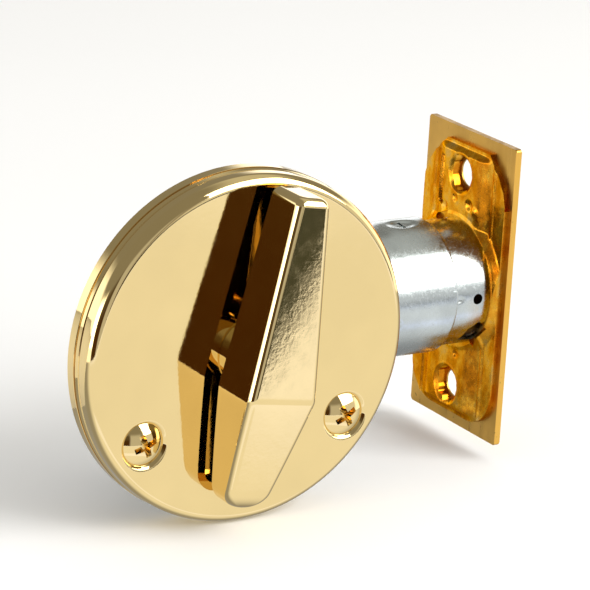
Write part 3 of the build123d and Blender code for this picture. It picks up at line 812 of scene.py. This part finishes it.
class DEADBOLT_OT_thumbturn(bpy.types.Operator):
    """Build the hollow thumbturn with its boss and shaft"""

    bl_idname = "deadbolt.thumbturn"
    bl_label = "Thumbturn"

    def execute(self, context):
        sizes = context.scene.deadbolt.thumbturn
        base = ROSE_HEIGHT + sizes.gap

        def place(across, up, height):
            across, up = turned(across, up, sizes.lean)
            return on_door(across, up, base + height)

        piece = self.solid("thumbturn_blade", sizes, place, 0.0, sizes.edge, 0.0)
        hollow = self.solid("tool", sizes, place, sizes.wall, 0.3 * MM, -1 * MM)
        combine(piece, hollow, "DIFFERENCE")
        self.add_shaft(piece, sizes, place, base)
        tail_slot = rectangle(1.02 * MM, 3.22 * MM)
        cut_prism(piece, tail_slot, -20 * MM, 0.0, place)
        self.cut_ring_groove(piece, place, base)
        dress(piece, "knob", "polished_brass", "thumbturn", sharp=32.0)
        return {"FINISHED"}

    @staticmethod
    def add_shaft(piece, sizes, place, base):
        """Join the boss within and under the blade, and the shaft through the rose."""
        boss_top, blade_back = 9.0 * MM, -0.01 * MM
        foot, foot_bevel = 0.1 * MM - sizes.gap, 0.25 * MM
        tip, tip_bevel = -1.5 * MM - base, 0.3 * MM
        boss = bmesh.new()
        lathe(boss, [
            (0.0, boss_top), (sizes.core, boss_top), (sizes.core, blade_back),
            (sizes.boss, blade_back), (sizes.boss, foot + foot_bevel),
            (sizes.boss - foot_bevel, foot), (sizes.shaft, foot), (sizes.shaft, tip + tip_bevel),
            (sizes.shaft - tip_bevel, tip), (0.0, tip),
        ], place, segments=128)
        combine(piece, to_object("tool", boss), "UNION")

    @staticmethod
    def cut_ring_groove(piece, place, base):
        """Cut the groove that holds the retaining ring."""
        floor, outside, width = 4.2 * MM, 6.0 * MM, 0.7 * MM
        level = DOOR_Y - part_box("retaining_ring")[0].y - width - base
        ring = bmesh.new()
        lathe(ring, [
            (floor, level), (outside, level), (outside, level + width), (floor, level + width),
        ], place, segments=96, loop=True)
        combine(piece, to_object("tool", ring), "DIFFERENCE")

    @staticmethod
    def crease(first, second, softness):
        """The lower of two values, blended where they meet."""
        gap = abs(first - second) / softness
        return min(first, second) - softness * math.log1p(math.exp(-gap))

    def half_width(self, sizes, up):
        """Half the blade's width at a place along it."""
        above = sizes.middle_half + (sizes.top_half - sizes.middle_half) * (up - sizes.middle) / (
            sizes.top - sizes.middle)
        share = (up - sizes.bottom) / (sizes.middle - sizes.bottom)
        swell = 4 * sizes.belly * share * (1 - share) if share < 1 else 0.0
        below = sizes.bottom_half + (sizes.middle_half - sizes.bottom_half) * share + swell
        return self.crease(above, below, softness=0.05 * MM)

    def depth(self, sizes, up):
        """The blade's depth at a place along it, its two front faces blended."""
        above = (sizes.top_depth - sizes.middle_depth) / (sizes.top - sizes.middle)
        below = (sizes.middle_depth - sizes.bottom_depth) / (sizes.middle - sizes.bottom)
        first = sizes.middle_depth + above * (up - sizes.middle)
        second = sizes.middle_depth + below * (up - sizes.middle)
        return self.crease(first, second, softness=0.08 * MM)

    @staticmethod
    def stations(sizes, low, high):
        """Places along the blade, close together where it curves."""
        near = 3 * MM
        places = [low + (sizes.middle - near - low) * i / 16 for i in range(16)]
        places += [sizes.middle + (i - 20) * 0.15 * MM for i in range(41)]
        places += [sizes.middle + near + (high - sizes.middle - near) * i / 6 for i in range(1, 7)]
        return places

    def section(self, sizes, up, inset, edge, floor, narrower, lower):
        """The blade's outline across one place, (across, up, height), with round corners."""
        half = self.half_width(sizes, up) - inset - narrower
        depth = self.depth(sizes, up) - inset - lower
        points = [(-half, up, floor), (-half, up, (depth - edge) / 2)]
        corner = quarter_turn(8)
        for side, angles in ((-1, corner), (1, corner[::-1])):
            for angle in angles:
                points.append((side * (half - edge + edge * math.cos(angle)), up,
                               depth - edge + edge * math.sin(angle)))
        return points + [(half, up, (depth - edge) / 2), (half, up, floor)]

    def solid(self, name, sizes, place, inset, edge, floor):
        """The blade's solid, drawn in by an inset, its front and end edges rounded."""
        low, high = sizes.bottom + inset, sizes.top - inset
        bottom_corner = sizes.bottom_corner - inset
        top_corner = max(sizes.top_corner - inset, edge)
        rolled = []
        for end, inward, corner in ((low, 1, bottom_corner), (high, -1, top_corner)):
            rolled.append([
                (end + inward * corner * (1 - math.sin(angle)), 1 - math.cos(angle), corner)
                for angle in quarter_turn(12)])
        first, last = rolled[0][::-1], rolled[1]
        between = [(up, 0.0, edge) for up in self.stations(sizes, first[-1][0], last[0][0])]
        rings = []
        for up, drawn, corner in first + between[1:-1] + last:
            rings.append([place(*point) for point in self.section(
                sizes, up, inset, edge, floor, drawn * corner, drawn * edge)])
        bm = bmesh.new()
        rows = skin(bm, rings)
        bm.faces.new(rows[0])
        bm.faces.new(rows[-1])
        return to_object(name, bm)


# ------------------------------------------------------------------ tubes
def tube(name, rear, front, segments, step, outside, inside):
    """A tube along the bolt's axis; outside and inside give the radius at (x, angle)."""
    count = max(2, round((front - rear) / step))
    places = [rear + (front - rear) * i / count for i in range(count + 1)]
    rings = []
    for radius_at, order in ((outside, places), (inside, places[::-1])):
        for x in order:
            rings.append([
                on_tube(x, angle, radius_at(x, angle)) for angle in full_turn(segments)])
    bm = bmesh.new()
    skin(bm, rings, loop=True)
    return to_object(name, bm)


def apart(angle, other):
    """The smallest difference between two angles."""
    return abs((angle - other + math.pi) % (2 * math.pi) - math.pi)


def around(angle, radius, x=0.0):
    """Places (along, round, radius) about a point of a tube's wall."""
    return lambda u, v, h: on_tube(x + u, angle + v / radius, h)


def side_on(u, v, h):
    """A place seen from the room: (x, z, y)."""
    return Vector((u, h, v))


class DEADBOLT_OT_rear_housing(bpy.types.Operator):
    """Build the zinc plated housing round the hub"""

    bl_idname = "deadbolt.rear_housing"
    bl_label = "Rear Housing"

    def execute(self, context):
        sizes = context.scene.deadbolt.tube
        front, rear = HOUSING_HIGH.x, HOUSING_LOW.x
        scoop_angle = math.radians(86)
        edge, rounded = 0.12 * MM, 0.15 * MM

        def outside(x, angle):
            rounding = edge * ease(x, front - rounded, front)
            rounding += edge * ease(-x, -rear - rounded, -rear)
            return HOUSING_R - self.pressed(sizes, scoop_angle, x, angle) - rounding

        def inside(x, angle):
            pressed = self.pressed(sizes, scoop_angle, x, angle)
            return HOUSING_R - sizes.wall - min(pressed, 0.02 * MM)

        piece = tube("housing_tube", rear, front, 360, 0.3 * MM, outside, inside)
        past = 2 * MM
        slot = rectangle(sizes.slot_front - rear + past, sizes.crank_slot, rear - past)
        cut_prism(piece, slot, 0.0, -THROUGH, lambda u, v, h: Vector((u, v, h)))
        bush_hole = circle(sizes.bush_hole, 96, HUB_X)
        cut_prism(piece, bush_hole, -THROUGH, THROUGH, side_on)
        bite = [(-1.0 * MM, -0.45 * MM), (1.0 * MM, -0.6 * MM), (1.0 * MM, 0.6 * MM),
                (-0.8 * MM, 0.35 * MM)]
        bite_angle = math.radians(12.5)
        cut_prism(piece, bite, HOUSING_R - 0.55 * MM, HOUSING_R + 0.5 * MM,
                  around(bite_angle, HOUSING_R, front))
        slit = rectangle(0.28 * MM, 1.35 * MM, -15.0 * MM)
        cut_prism(piece, slit, HOUSING_R - 1.2 * MM, HOUSING_R + 1 * MM,
                  around(scoop_angle, HOUSING_R))
        dress(piece, "rear_section", "zinc_plated_steel", "rear_housing")
        return {"FINISHED"}

    @staticmethod
    def pressed(sizes, scoop_angle, x, angle):
        """How far the wall is pressed in: a scoop, a flat along the top and a rough pit."""
        scoop_x, scoop_long, scoop_wide = -15.2 * MM, 3.6 * MM, 2.3 * MM
        along = (x - scoop_x) / scoop_long
        across = apart(angle, scoop_angle) * HOUSING_R / scoop_wide
        scoop = sizes.scoop_depth * (1 - ease(math.hypot(along, across), 0.35, 1.0))
        flat = 0.30 * MM * ease(-x, 17 * MM, 21 * MM) * (1 - ease(-x, 27 * MM, 33 * MM))
        flat *= 1 - ease(apart(angle, math.radians(90)), 0.15, 0.5)
        pit_x, pit_angle = -22.4 * MM, math.radians(-12)
        reach = math.hypot(x - pit_x, apart(angle, pit_angle) * HOUSING_R)
        rough = noise.noise(Vector((x * 2000, angle * 30, 0.0)))
        pit = (0.26 * MM + 0.1 * MM * rough) * (1 - ease(reach, 0.3 * MM, 1.3 * MM))
        return scoop + flat + pit


class DEADBOLT_OT_front_sleeve(bpy.types.Operator):
    """Build the zinc plated sleeve that carries the bolt"""

    bl_idname = "deadbolt.front_sleeve"
    bl_label = "Front Sleeve"

    def execute(self, context):
        sizes = context.scene.deadbolt.tube
        front, rear = SLEEVE_HIGH.x, SLEEVE_LOW.x
        mark_x, mark_angle, mark_long = -8.6 * MM, math.radians(1), 1.4

        def outside(x, angle):
            mark = math.hypot((x - mark_x) / mark_long, apart(angle, mark_angle) * SLEEVE_R)
            return SLEEVE_R - 0.2 * MM * (1 - ease(mark, 0.2 * MM, 0.8 * MM))

        def inside(x, angle):
            return SLEEVE_R - sizes.wall

        piece = tube("sleeve_tube", rear, front, 300, 0.5 * MM, outside, inside)
        detent_hole = circle(sizes.detent_hole, 48, -4.4 * MM)
        cut_prism(piece, detent_hole, -THROUGH, 0.0, side_on)
        for outline, angle in notches():
            cut_prism(piece, outline, SLEEVE_R - 3 * MM, SLEEVE_R + 2 * MM,
                      around(angle, SLEEVE_R))
        dress(piece, "front_section", "zinc_plated_steel", "front_sleeve")
        return {"FINISHED"}


def notches():
    """The two torn notches where the sleeve meets its plate, as outlines with their angles."""
    plate = BACK_LOW.x + 0.8 * MM
    square = [(plate - 3.4 * MM, -2.2 * MM), (plate + 0.3 * MM, -3.2 * MM),
              (plate + 0.9 * MM, 2.0 * MM), (plate - 1.2 * MM, 2.9 * MM),
              (plate - 2.8 * MM, 1.4 * MM)]
    tooth = [(plate - 1.9 * MM, -1.7 * MM), (plate + 0.6 * MM, -1.7 * MM),
             (plate + 0.6 * MM, 1.9 * MM), (plate - 0.6 * MM, 1.9 * MM)]
    return (square, math.radians(-39)), (tooth, math.radians(112))


# ------------------------------------------------------------------ plates
def across_edge(u, v, h):
    """A place on the door's edge: (y, z, x)."""
    return Vector((h, u, v))


class DEADBOLT_OT_faceplate(bpy.types.Operator):
    """Build the satin faceplate with its countersunk holes"""

    bl_idname = "deadbolt.faceplate"
    bl_label = "Faceplate"

    def execute(self, context):
        sizes = context.scene.deadbolt.plate
        half_y, half_z = FACE_HIGH.y, FACE_HIGH.z
        thick = FACE_HIGH.x
        corner = 0.5 * MM
        outline = []
        for sign_y, sign_z, start in ((1, 1, 0), (-1, 1, 90), (-1, -1, 180), (1, -1, 270)):
            for i in range(6):
                angle = math.radians(start + 18 * i)
                outline.append((sign_y * (half_y - corner) + corner * math.cos(angle),
                                sign_z * (half_z - corner) + corner * math.sin(angle)))
        bm = bmesh.new()
        prism(bm, outline, 0.0, thick, across_edge)
        rims = [
            edge for edge in bm.edges if abs(edge.verts[0].co.x - edge.verts[1].co.x) < NOTHING]
        bmesh.ops.bevel(bm, geom=rims, offset=sizes.edge, segments=3, profile=0.5, affect="EDGES")
        piece = to_object("faceplate_plate", bm)
        gap, past, land = 0.3 * MM, 1 * MM, 0.3 * MM
        radius, flat = BOLT_HIGH.z + gap, BOLT_HIGH.y + gap
        opening = []
        corner_angle = math.asin(flat / radius)
        for start in (math.pi / 2, -math.pi / 2):
            for i in range(33):
                angle = start - corner_angle + 2 * corner_angle * i / 32
                opening.append((radius * math.cos(angle), radius * math.sin(angle)))
        cut_prism(piece, opening, -past, thick + past, across_edge)
        slope = (sizes.sink_radius - sizes.hole_radius) / (thick - land)
        countersink = [
            (0.0, -past), (sizes.hole_radius, -past), (sizes.hole_radius, land),
            (sizes.sink_radius, thick), (sizes.sink_radius + slope * past, thick + past),
            (0.0, thick + past)]
        for up in (-sizes.screw_spacing / 2, sizes.screw_spacing / 2):
            cut_lathe(piece, countersink, lambda u, v, h: Vector((h, u, up + v)))
        dress(piece, "front_section", "face_brass", "faceplate")
        return {"FINISHED"}


class DEADBOLT_OT_backing_plate(bpy.types.Operator):
    """Build the pressed backing plate behind the faceplate"""

    bl_idname = "deadbolt.backing_plate"
    bl_label = "Backing Plate"

    def execute(self, context):
        sizes = context.scene.deadbolt.plate
        half_y, half_z = BACK_HIGH.y, BACK_HIGH.z
        piece = self.pressing(sizes, half_y, half_z)
        behind, past = -10 * MM, 1 * MM
        blank = bmesh.new()
        prism(blank, self.outline(half_y, half_z), behind, past, across_edge)
        combine(piece, to_object("tool", blank), "INTERSECT")
        cut_prism(piece, circle(SLEEVE_R, 192), behind, past, across_edge)
        for side in (-1, 1):
            cut_prism(piece, self.torn_hole(sizes, side), behind, past, across_edge)
        recess = rectangle(1.4 * MM, 3.1 * MM, -half_y, 19.8 * MM)
        cut_prism(piece, recess, -0.95 * MM, past, across_edge)
        for outline, angle in notches():
            cut_prism(piece, outline, SLEEVE_R - 1 * MM, SLEEVE_R + 1.4 * MM,
                      around(angle, SLEEVE_R))
        dress(piece, "front_section", "passivated_steel", "backing_plate", sharp=50.0)
        return {"FINISHED"}

    def pressing(self, sizes, half_y, half_z):
        """The pressed sheet as a closed grid, a little larger than the plate."""
        step, beyond = 0.2 * MM, MM
        columns = math.ceil(2 * (half_y + beyond) / step)
        lines = math.ceil(2 * (half_z + beyond) / step)
        bm = bmesh.new()
        front, back = [], []
        for i in range(columns + 1):
            y = -half_y - beyond + step * i
            front.append([])
            back.append([])
            for k in range(lines + 1):
                z = -half_z - beyond + step * k
                front[-1].append(bm.verts.new((-self.height(sizes, y, z), y, z)))
                back[-1].append(bm.verts.new((0.0, y, z)))
        for i in range(columns):
            for k in range(lines):
                for grid in (front, back):
                    bm.faces.new((grid[i][k], grid[i + 1][k], grid[i + 1][k + 1], grid[i][k + 1]))
        rim = [(i, 0) for i in range(columns)] + [(columns, k) for k in range(lines)]
        rim += [(i, lines) for i in range(columns, 0, -1)] + [(0, k) for k in range(lines, 0, -1)]
        for (i, k), (m, n) in zip(rim, rim[1:] + rim[:1]):
            bm.faces.new((front[i][k], front[m][n], back[m][n], back[i][k]))
        return to_object("backing_pressing", bm)

    @staticmethod
    def outline(half_y, half_z):
        """The plate's outline: straight top corners, round bottom ones."""
        points = [(6.4 * MM, half_z), (-7.5 * MM, half_z), (-10.9 * MM, 22.4 * MM),
                  (-12.5 * MM, 20.0 * MM), (-half_y, 17.4 * MM)]
        radius, corner = 7.2 * MM, quarter_turn(12)
        for sign, angles in ((-1, corner), (1, corner[::-1])):
            for angle in angles:
                points.append((sign * (half_y - radius + radius * math.cos(angle)),
                               -half_z + radius - radius * math.sin(angle)))
        return points + [(half_y, 17.4 * MM), (12.4 * MM, 19.8 * MM), (10.6 * MM, 22.2 * MM)]

    @staticmethod
    def torn_hole(sizes, side):
        """A screw hole's outline with a ragged lip."""
        middle = side * sizes.screw_spacing / 2
        points = []
        for angle in full_turn(72):
            ragged = noise.noise(Vector((3 * math.cos(angle), 3 * math.sin(angle), 7.0 * side)))
            radius = sizes.hole_radius + 0.45 * MM + 0.40 * MM * ragged
            points.append((radius * math.cos(angle), middle + 1.16 * radius * math.sin(angle)))
        return points

    @staticmethod
    def height(sizes, y, z):
        """How far the pressing stands behind the faceplate at a place."""
        radius = math.hypot(y, z)
        panel = 1 - ease(abs(y), sizes.panel_half - 1.9 * MM, sizes.panel_half + 2.2 * MM)
        panel *= 1 - ease(abs(z), 24.3 * MM, 25.6 * MM)
        rim = 1 - ease(radius, 12.6 * MM, 14.6 * MM)
        high = sizes.sheet + sizes.raised * max(panel, rim)
        lip = 13.4 * MM
        if radius < lip:
            high += 0.28 * MM * ease(radius, lip, 12.5 * MM)
        for side in (-1, 1):
            reach = math.hypot(y, z - side * sizes.screw_spacing / 2)
            collar = 1 - ease(abs(reach - 3.7 * MM), 0.2 * MM, 0.8 * MM)
            high += 0.18 * MM * collar - 0.55 * MM * (1 - ease(reach, 3.1 * MM, 4.3 * MM))
        channel = 1 - ease(abs(y - 6.35 * MM), 0.55 * MM, 1.0 * MM)
        channel *= 1 - ease(abs(z - 18.2 * MM), 4.2 * MM, 4.9 * MM)
        high -= 1.0 * MM * channel
        for side, place in ((1, 9.8 * MM), (-1, 9.6 * MM)):
            ridge = 1 - ease(abs(side * y - place), 0.1 * MM, 0.6 * MM)
            high += 0.22 * MM * ridge
        for spot_y, spot_z, spot_r, depth in (
            (-3.4 * MM, 15.4 * MM, 0.9 * MM, 0.5 * MM), (1.3 * MM, 15.8 * MM, 0.7 * MM, 0.35 * MM),
            (-5.2 * MM, 14.6 * MM, 0.8 * MM, -0.35 * MM),
            (4.7 * MM, 13.6 * MM, 0.9 * MM, 0.4 * MM),
            (-2.5 * MM, -13.9 * MM, 0.6 * MM, 0.35 * MM),
        ):
            reach = math.hypot(y - spot_y, z - spot_z)
            high -= depth * (1 - ease(reach, 0.2 * spot_r, 1.6 * spot_r))
        ripple = noise.noise(Vector((y * 350, z * 350, 2.0)))
        return high + 0.05 * MM * ripple


# ------------------------------------------------------------------ carried over
class DEADBOLT_OT_inner_works(bpy.types.Operator):
    """Give the bolt and the inner pieces their finishes"""

    bl_idname = "deadbolt.inner_works"
    bl_label = "Bolt and Inner Works"

    def execute(self, context):
        groups = {
            "face_brass": ("bolt",),
            "zinc_plated_steel": ("mounting_plate", "screw_spacers", "flat_washer"),
            "bare_steel": (
                "tailpiece", "tailpiece_pin", "tail_plate", "crank_arm_room_side",
                "crank_arm_far_side", "crank_pin", "saw_pin", "link_pin", "hub"),
            "spring_steel": ("retaining_ring", "spring_washer"),
            "nylon": ("hub_bush_room_side", "hub_bush_far_side", "tail_guide"),
        }
        for slot, names in groups.items():
            for name in names:
                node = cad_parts[name]
                if not node.material_slots:
                    raise RuntimeError(f"{name} has no material slot")
                for place in node.material_slots:
                    place.material = finish_named(slot)
        return {"FINISHED"}


# ------------------------------------------------------------------ studio
class DEADBOLT_OT_studio(bpy.types.Operator):
    """Set up the floor, the lights and the camera"""

    bl_idname = "deadbolt.studio"
    bl_label = "Studio"

    def execute(self, context):
        sizes = context.scene.deadbolt.studio
        context.scene.view_settings.view_transform = "Standard"
        self.floor(sizes)
        self.world(sizes)
        self.softbox(
            "softbox_overhead", Vector((0.50, -0.62, 0.49)), distance=1.1, size=(0.85, 0.80),
            power=sizes.softbox_power)
        fill = self.softbox(
            "softbox_fill", Vector((-0.2, 0.1, 1.0)), distance=1.3, size=(2.4, 2.4),
            power=sizes.fill_power)
        fill.visible_glossy = False
        self.camera(sizes)
        return {"FINISHED"}

    @staticmethod
    def floor(sizes):
        """A pale paper floor in two sheets; the front one doesn't show in reflections."""
        level = CAD_LOW.z - 0.05 * MM
        paper = Finish("studio_paper", metallic=0.0)
        clouds = paper.grain(3.0, detail=2.0)
        paper.colour(paper.ramp(clouds, (0.3, grey(0.93)), (0.7, grey(0.95))))
        paper.roughness(paper.spread(clouds, 0.3, 0.7, 0.85, 0.95))
        seam = CAD_HIGH.y + 8 * MM
        half_width, cells = 2.5, 12
        for name, front, back, mirrored in (
            ("studio_floor_back", seam, sizes.floor_back, True),
            ("studio_floor_front", -sizes.floor_front, seam, False),
        ):
            bm = bmesh.new()
            rows = []
            for i in range(cells + 1):
                x = -half_width + 2 * half_width * i / cells
                rows.append([
                    bm.verts.new((x, front + (back - front) * k / cells, level))
                    for k in range(cells + 1)])
            for i in range(cells):
                for k in range(cells):
                    bm.faces.new((rows[i][k], rows[i + 1][k], rows[i + 1][k + 1], rows[i][k + 1]))
            piece = to_object(name, bm)
            piece.data.materials.append(paper.material)
            piece.visible_glossy = mirrored

    @staticmethod
    def world(sizes):
        """The room as the metals mirror it, painted by direction; the camera sees plain white."""
        world = bpy.data.worlds.new("studio_room")
        bpy.context.scene.world = world
        world.use_nodes = True
        room = Nodes(world.node_tree)
        direction = room.nodes.new("ShaderNodeTexCoord").outputs["Generated"]
        east, north, height = room.parts(direction)
        step, mix = room.spread, room.blend

        def both(first, second):
            return room.maths("MULTIPLY", first, second)

        # the horizon: warm and dark at the left, paler at the right, white behind
        behind = step(north, -0.50, -0.36, 0.0, 1.0)
        front = step(north, -0.50, -0.40, 1.0, 0.0)
        left = mix(step(height, -0.04, 0.15, 0.0, 1.0),
                   (0.080, 0.036, 0.009, 1.0), (0.12, 0.09, 0.05, 1.0))
        right = mix(step(height, -0.160, -0.130, 0.0, 1.0), (0.074, 0.080, 0.066, 1.0), grey(0.85))
        horizon = mix(step(east, 0.15, 0.40, 0.0, 1.0), left, right)
        facing = both(step(east, -0.42, -0.30, 0.0, 1.0), step(east, 0.12, 0.26, 1.0, 0.0))
        horizon = mix(facing, horizon, grey(0.62))
        horizon = mix(behind, horizon, grey(sizes.sky))

        # a bright strip light at the left
        strip = both(step(north, -0.46, -0.40, 0.0, 1.0), step(north, 0.10, 0.30, 1.0, 0.0))
        strip = both(strip, both(step(east, -0.6, -0.5, 1.0, 0.0),
                                 step(height, -0.14, -0.10, 0.0, 1.0)))
        horizon = mix(strip, horizon, grey(4.5))

        # a dim ceiling, lighter at the right of the zenith
        zenith = both(step(height, 0.62, 0.80, 0.0, 1.0), step(east, 0.05, 0.35, 0.0, 1.0))
        ceiling = mix(zenith, (0.30, 0.285, 0.25, 1.0), (0.66, 0.65, 0.60, 1.0))
        walls = mix(step(height, 0.19, 0.38, 1.0, 0.0), ceiling, horizon)

        # the paper on the table, brighter close to its edge and in a band below
        edge = room.maths("ADD", height, step(east, 0.482, 0.562, 0.026, -0.026))
        under = step(edge, -0.2145, -0.2105, 1.0, 0.0)
        glow = both(step(height, -0.290, -0.235, 0.0, 1.0), front)
        band = both(step(height, -0.722, -0.696, 0.0, 1.0), step(height, -0.62, -0.58, 1.0, 0.0))
        cream = (1.22, 1.26, 1.48, 1.0)
        far = step(north, -0.48, 0.20, 0.0, 1.0)
        table = mix(far, grey(sizes.table), grey(0.36 * sizes.table))
        table = mix(both(band, front), mix(glow, table, cream), cream)

        seen = room.nodes.new("ShaderNodeLightPath").outputs["Is Camera Ray"]
        colour = mix(seen, mix(under, walls, table), grey(1.0))
        room.links.new(colour, room.nodes["Background"].inputs["Color"])

    @staticmethod
    def softbox(name, direction, distance, size, power):
        """A large soft light that faces the lock from a direction."""
        middle = (CAD_LOW + CAD_HIGH) / 2
        data = bpy.data.lights.new(name, "AREA")
        data.shape = "RECTANGLE"
        data.size, data.size_y = size
        data.energy = power
        light = bpy.data.objects.new(name, data)
        away = direction.normalized()
        light.location = middle + away * distance
        light.rotation_mode = "QUATERNION"
        light.rotation_quaternion = away.to_track_quat("Z", "Y")
        bpy.context.scene.collection.objects.link(light)
        return light

    @staticmethod
    def camera(sizes):
        """The camera, a little above and to the left of the rose."""
        data = bpy.data.cameras.new("studio_camera")
        data.sensor_width = 36.0
        data.lens = sizes.lens
        data.clip_start, data.clip_end = 0.01, 20.0
        camera = bpy.data.objects.new("studio_camera", data)
        place = Vector((-0.323954, -0.459312, 0.170972))
        view = Vector((0.50588, 0.80903, -0.29927)).normalized()
        up = Vector((0.11073, 0.28316, 0.95266)).normalized()
        right = view.cross(up).normalized()
        up = right.cross(view)
        turn = Matrix((right, up, -view)).transposed()
        camera.matrix_world = Matrix.Translation(place) @ turn.to_4x4()
        bpy.context.scene.collection.objects.link(camera)
        bpy.context.scene.camera = camera


# ------------------------------------------------------------------ sidebar
class DEADBOLT_PT_sidebar(bpy.types.Panel):
    """Settings and builders of the thumbturn deadbolt"""

    bl_idname = "DEADBOLT_PT_sidebar"
    bl_label = "Thumbturn Deadbolt"
    bl_space_type = "VIEW_3D"
    bl_region_type = "UI"
    bl_category = "Deadbolt"

    def draw(self, context):
        settings = context.scene.deadbolt
        for group, operators in (
            (settings.studio, (DEADBOLT_OT_studio,)),
            (settings.rose, (DEADBOLT_OT_rose, DEADBOLT_OT_rose_screws)),
            (settings.thumbturn, (DEADBOLT_OT_thumbturn,)),
            (settings.tube, (DEADBOLT_OT_rear_housing, DEADBOLT_OT_front_sleeve)),
            (settings.plate, (DEADBOLT_OT_faceplate, DEADBOLT_OT_backing_plate)),
            (settings.finish, (DEADBOLT_OT_inner_works,)),
        ):
            box = self.layout.box()
            for name in group.__annotations__:
                box.prop(group, name)
            for operator in operators:
                box.operator(operator.bl_idname)


SETTINGS = (
    RoseSettings, ThumbturnSettings, TubeSettings, PlateSettings, FinishSettings, StudioSettings,
    DeadboltSettings)
OPERATORS = (
    DEADBOLT_OT_studio, DEADBOLT_OT_rose, DEADBOLT_OT_rose_screws, DEADBOLT_OT_thumbturn,
    DEADBOLT_OT_rear_housing, DEADBOLT_OT_front_sleeve, DEADBOLT_OT_faceplate,
    DEADBOLT_OT_backing_plate, DEADBOLT_OT_inner_works)


def register():
    """Register the settings, the operators and the panel."""
    for kind in (*SETTINGS, *OPERATORS, DEADBOLT_PT_sidebar):
        bpy.utils.register_class(kind)
    bpy.types.Scene.deadbolt = bpy.props.PointerProperty(type=DeadboltSettings)


def unregister():
    """Take everything back out."""
    del bpy.types.Scene.deadbolt
    for kind in reversed((*SETTINGS, *OPERATORS, DEADBOLT_PT_sidebar)):
        bpy.utils.unregister_class(kind)


def main():
    """Clear the start-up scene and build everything."""
    for name in ("Cube", "Light", "Camera"):
        start = bpy.data.objects.get(name)
        if start:
            bpy.data.objects.remove(start)
    register()
    bpy.ops.deadbolt.studio()
    bpy.ops.deadbolt.rose()
    bpy.ops.deadbolt.rose_screws()
    bpy.ops.deadbolt.thumbturn()
    bpy.ops.deadbolt.rear_housing()
    bpy.ops.deadbolt.front_sleeve()
    bpy.ops.deadbolt.faceplate()
    bpy.ops.deadbolt.backing_plate()
    bpy.ops.deadbolt.inner_works()
    bpy.context.view_layer.update()


if __name__ == "__main__":
    main()
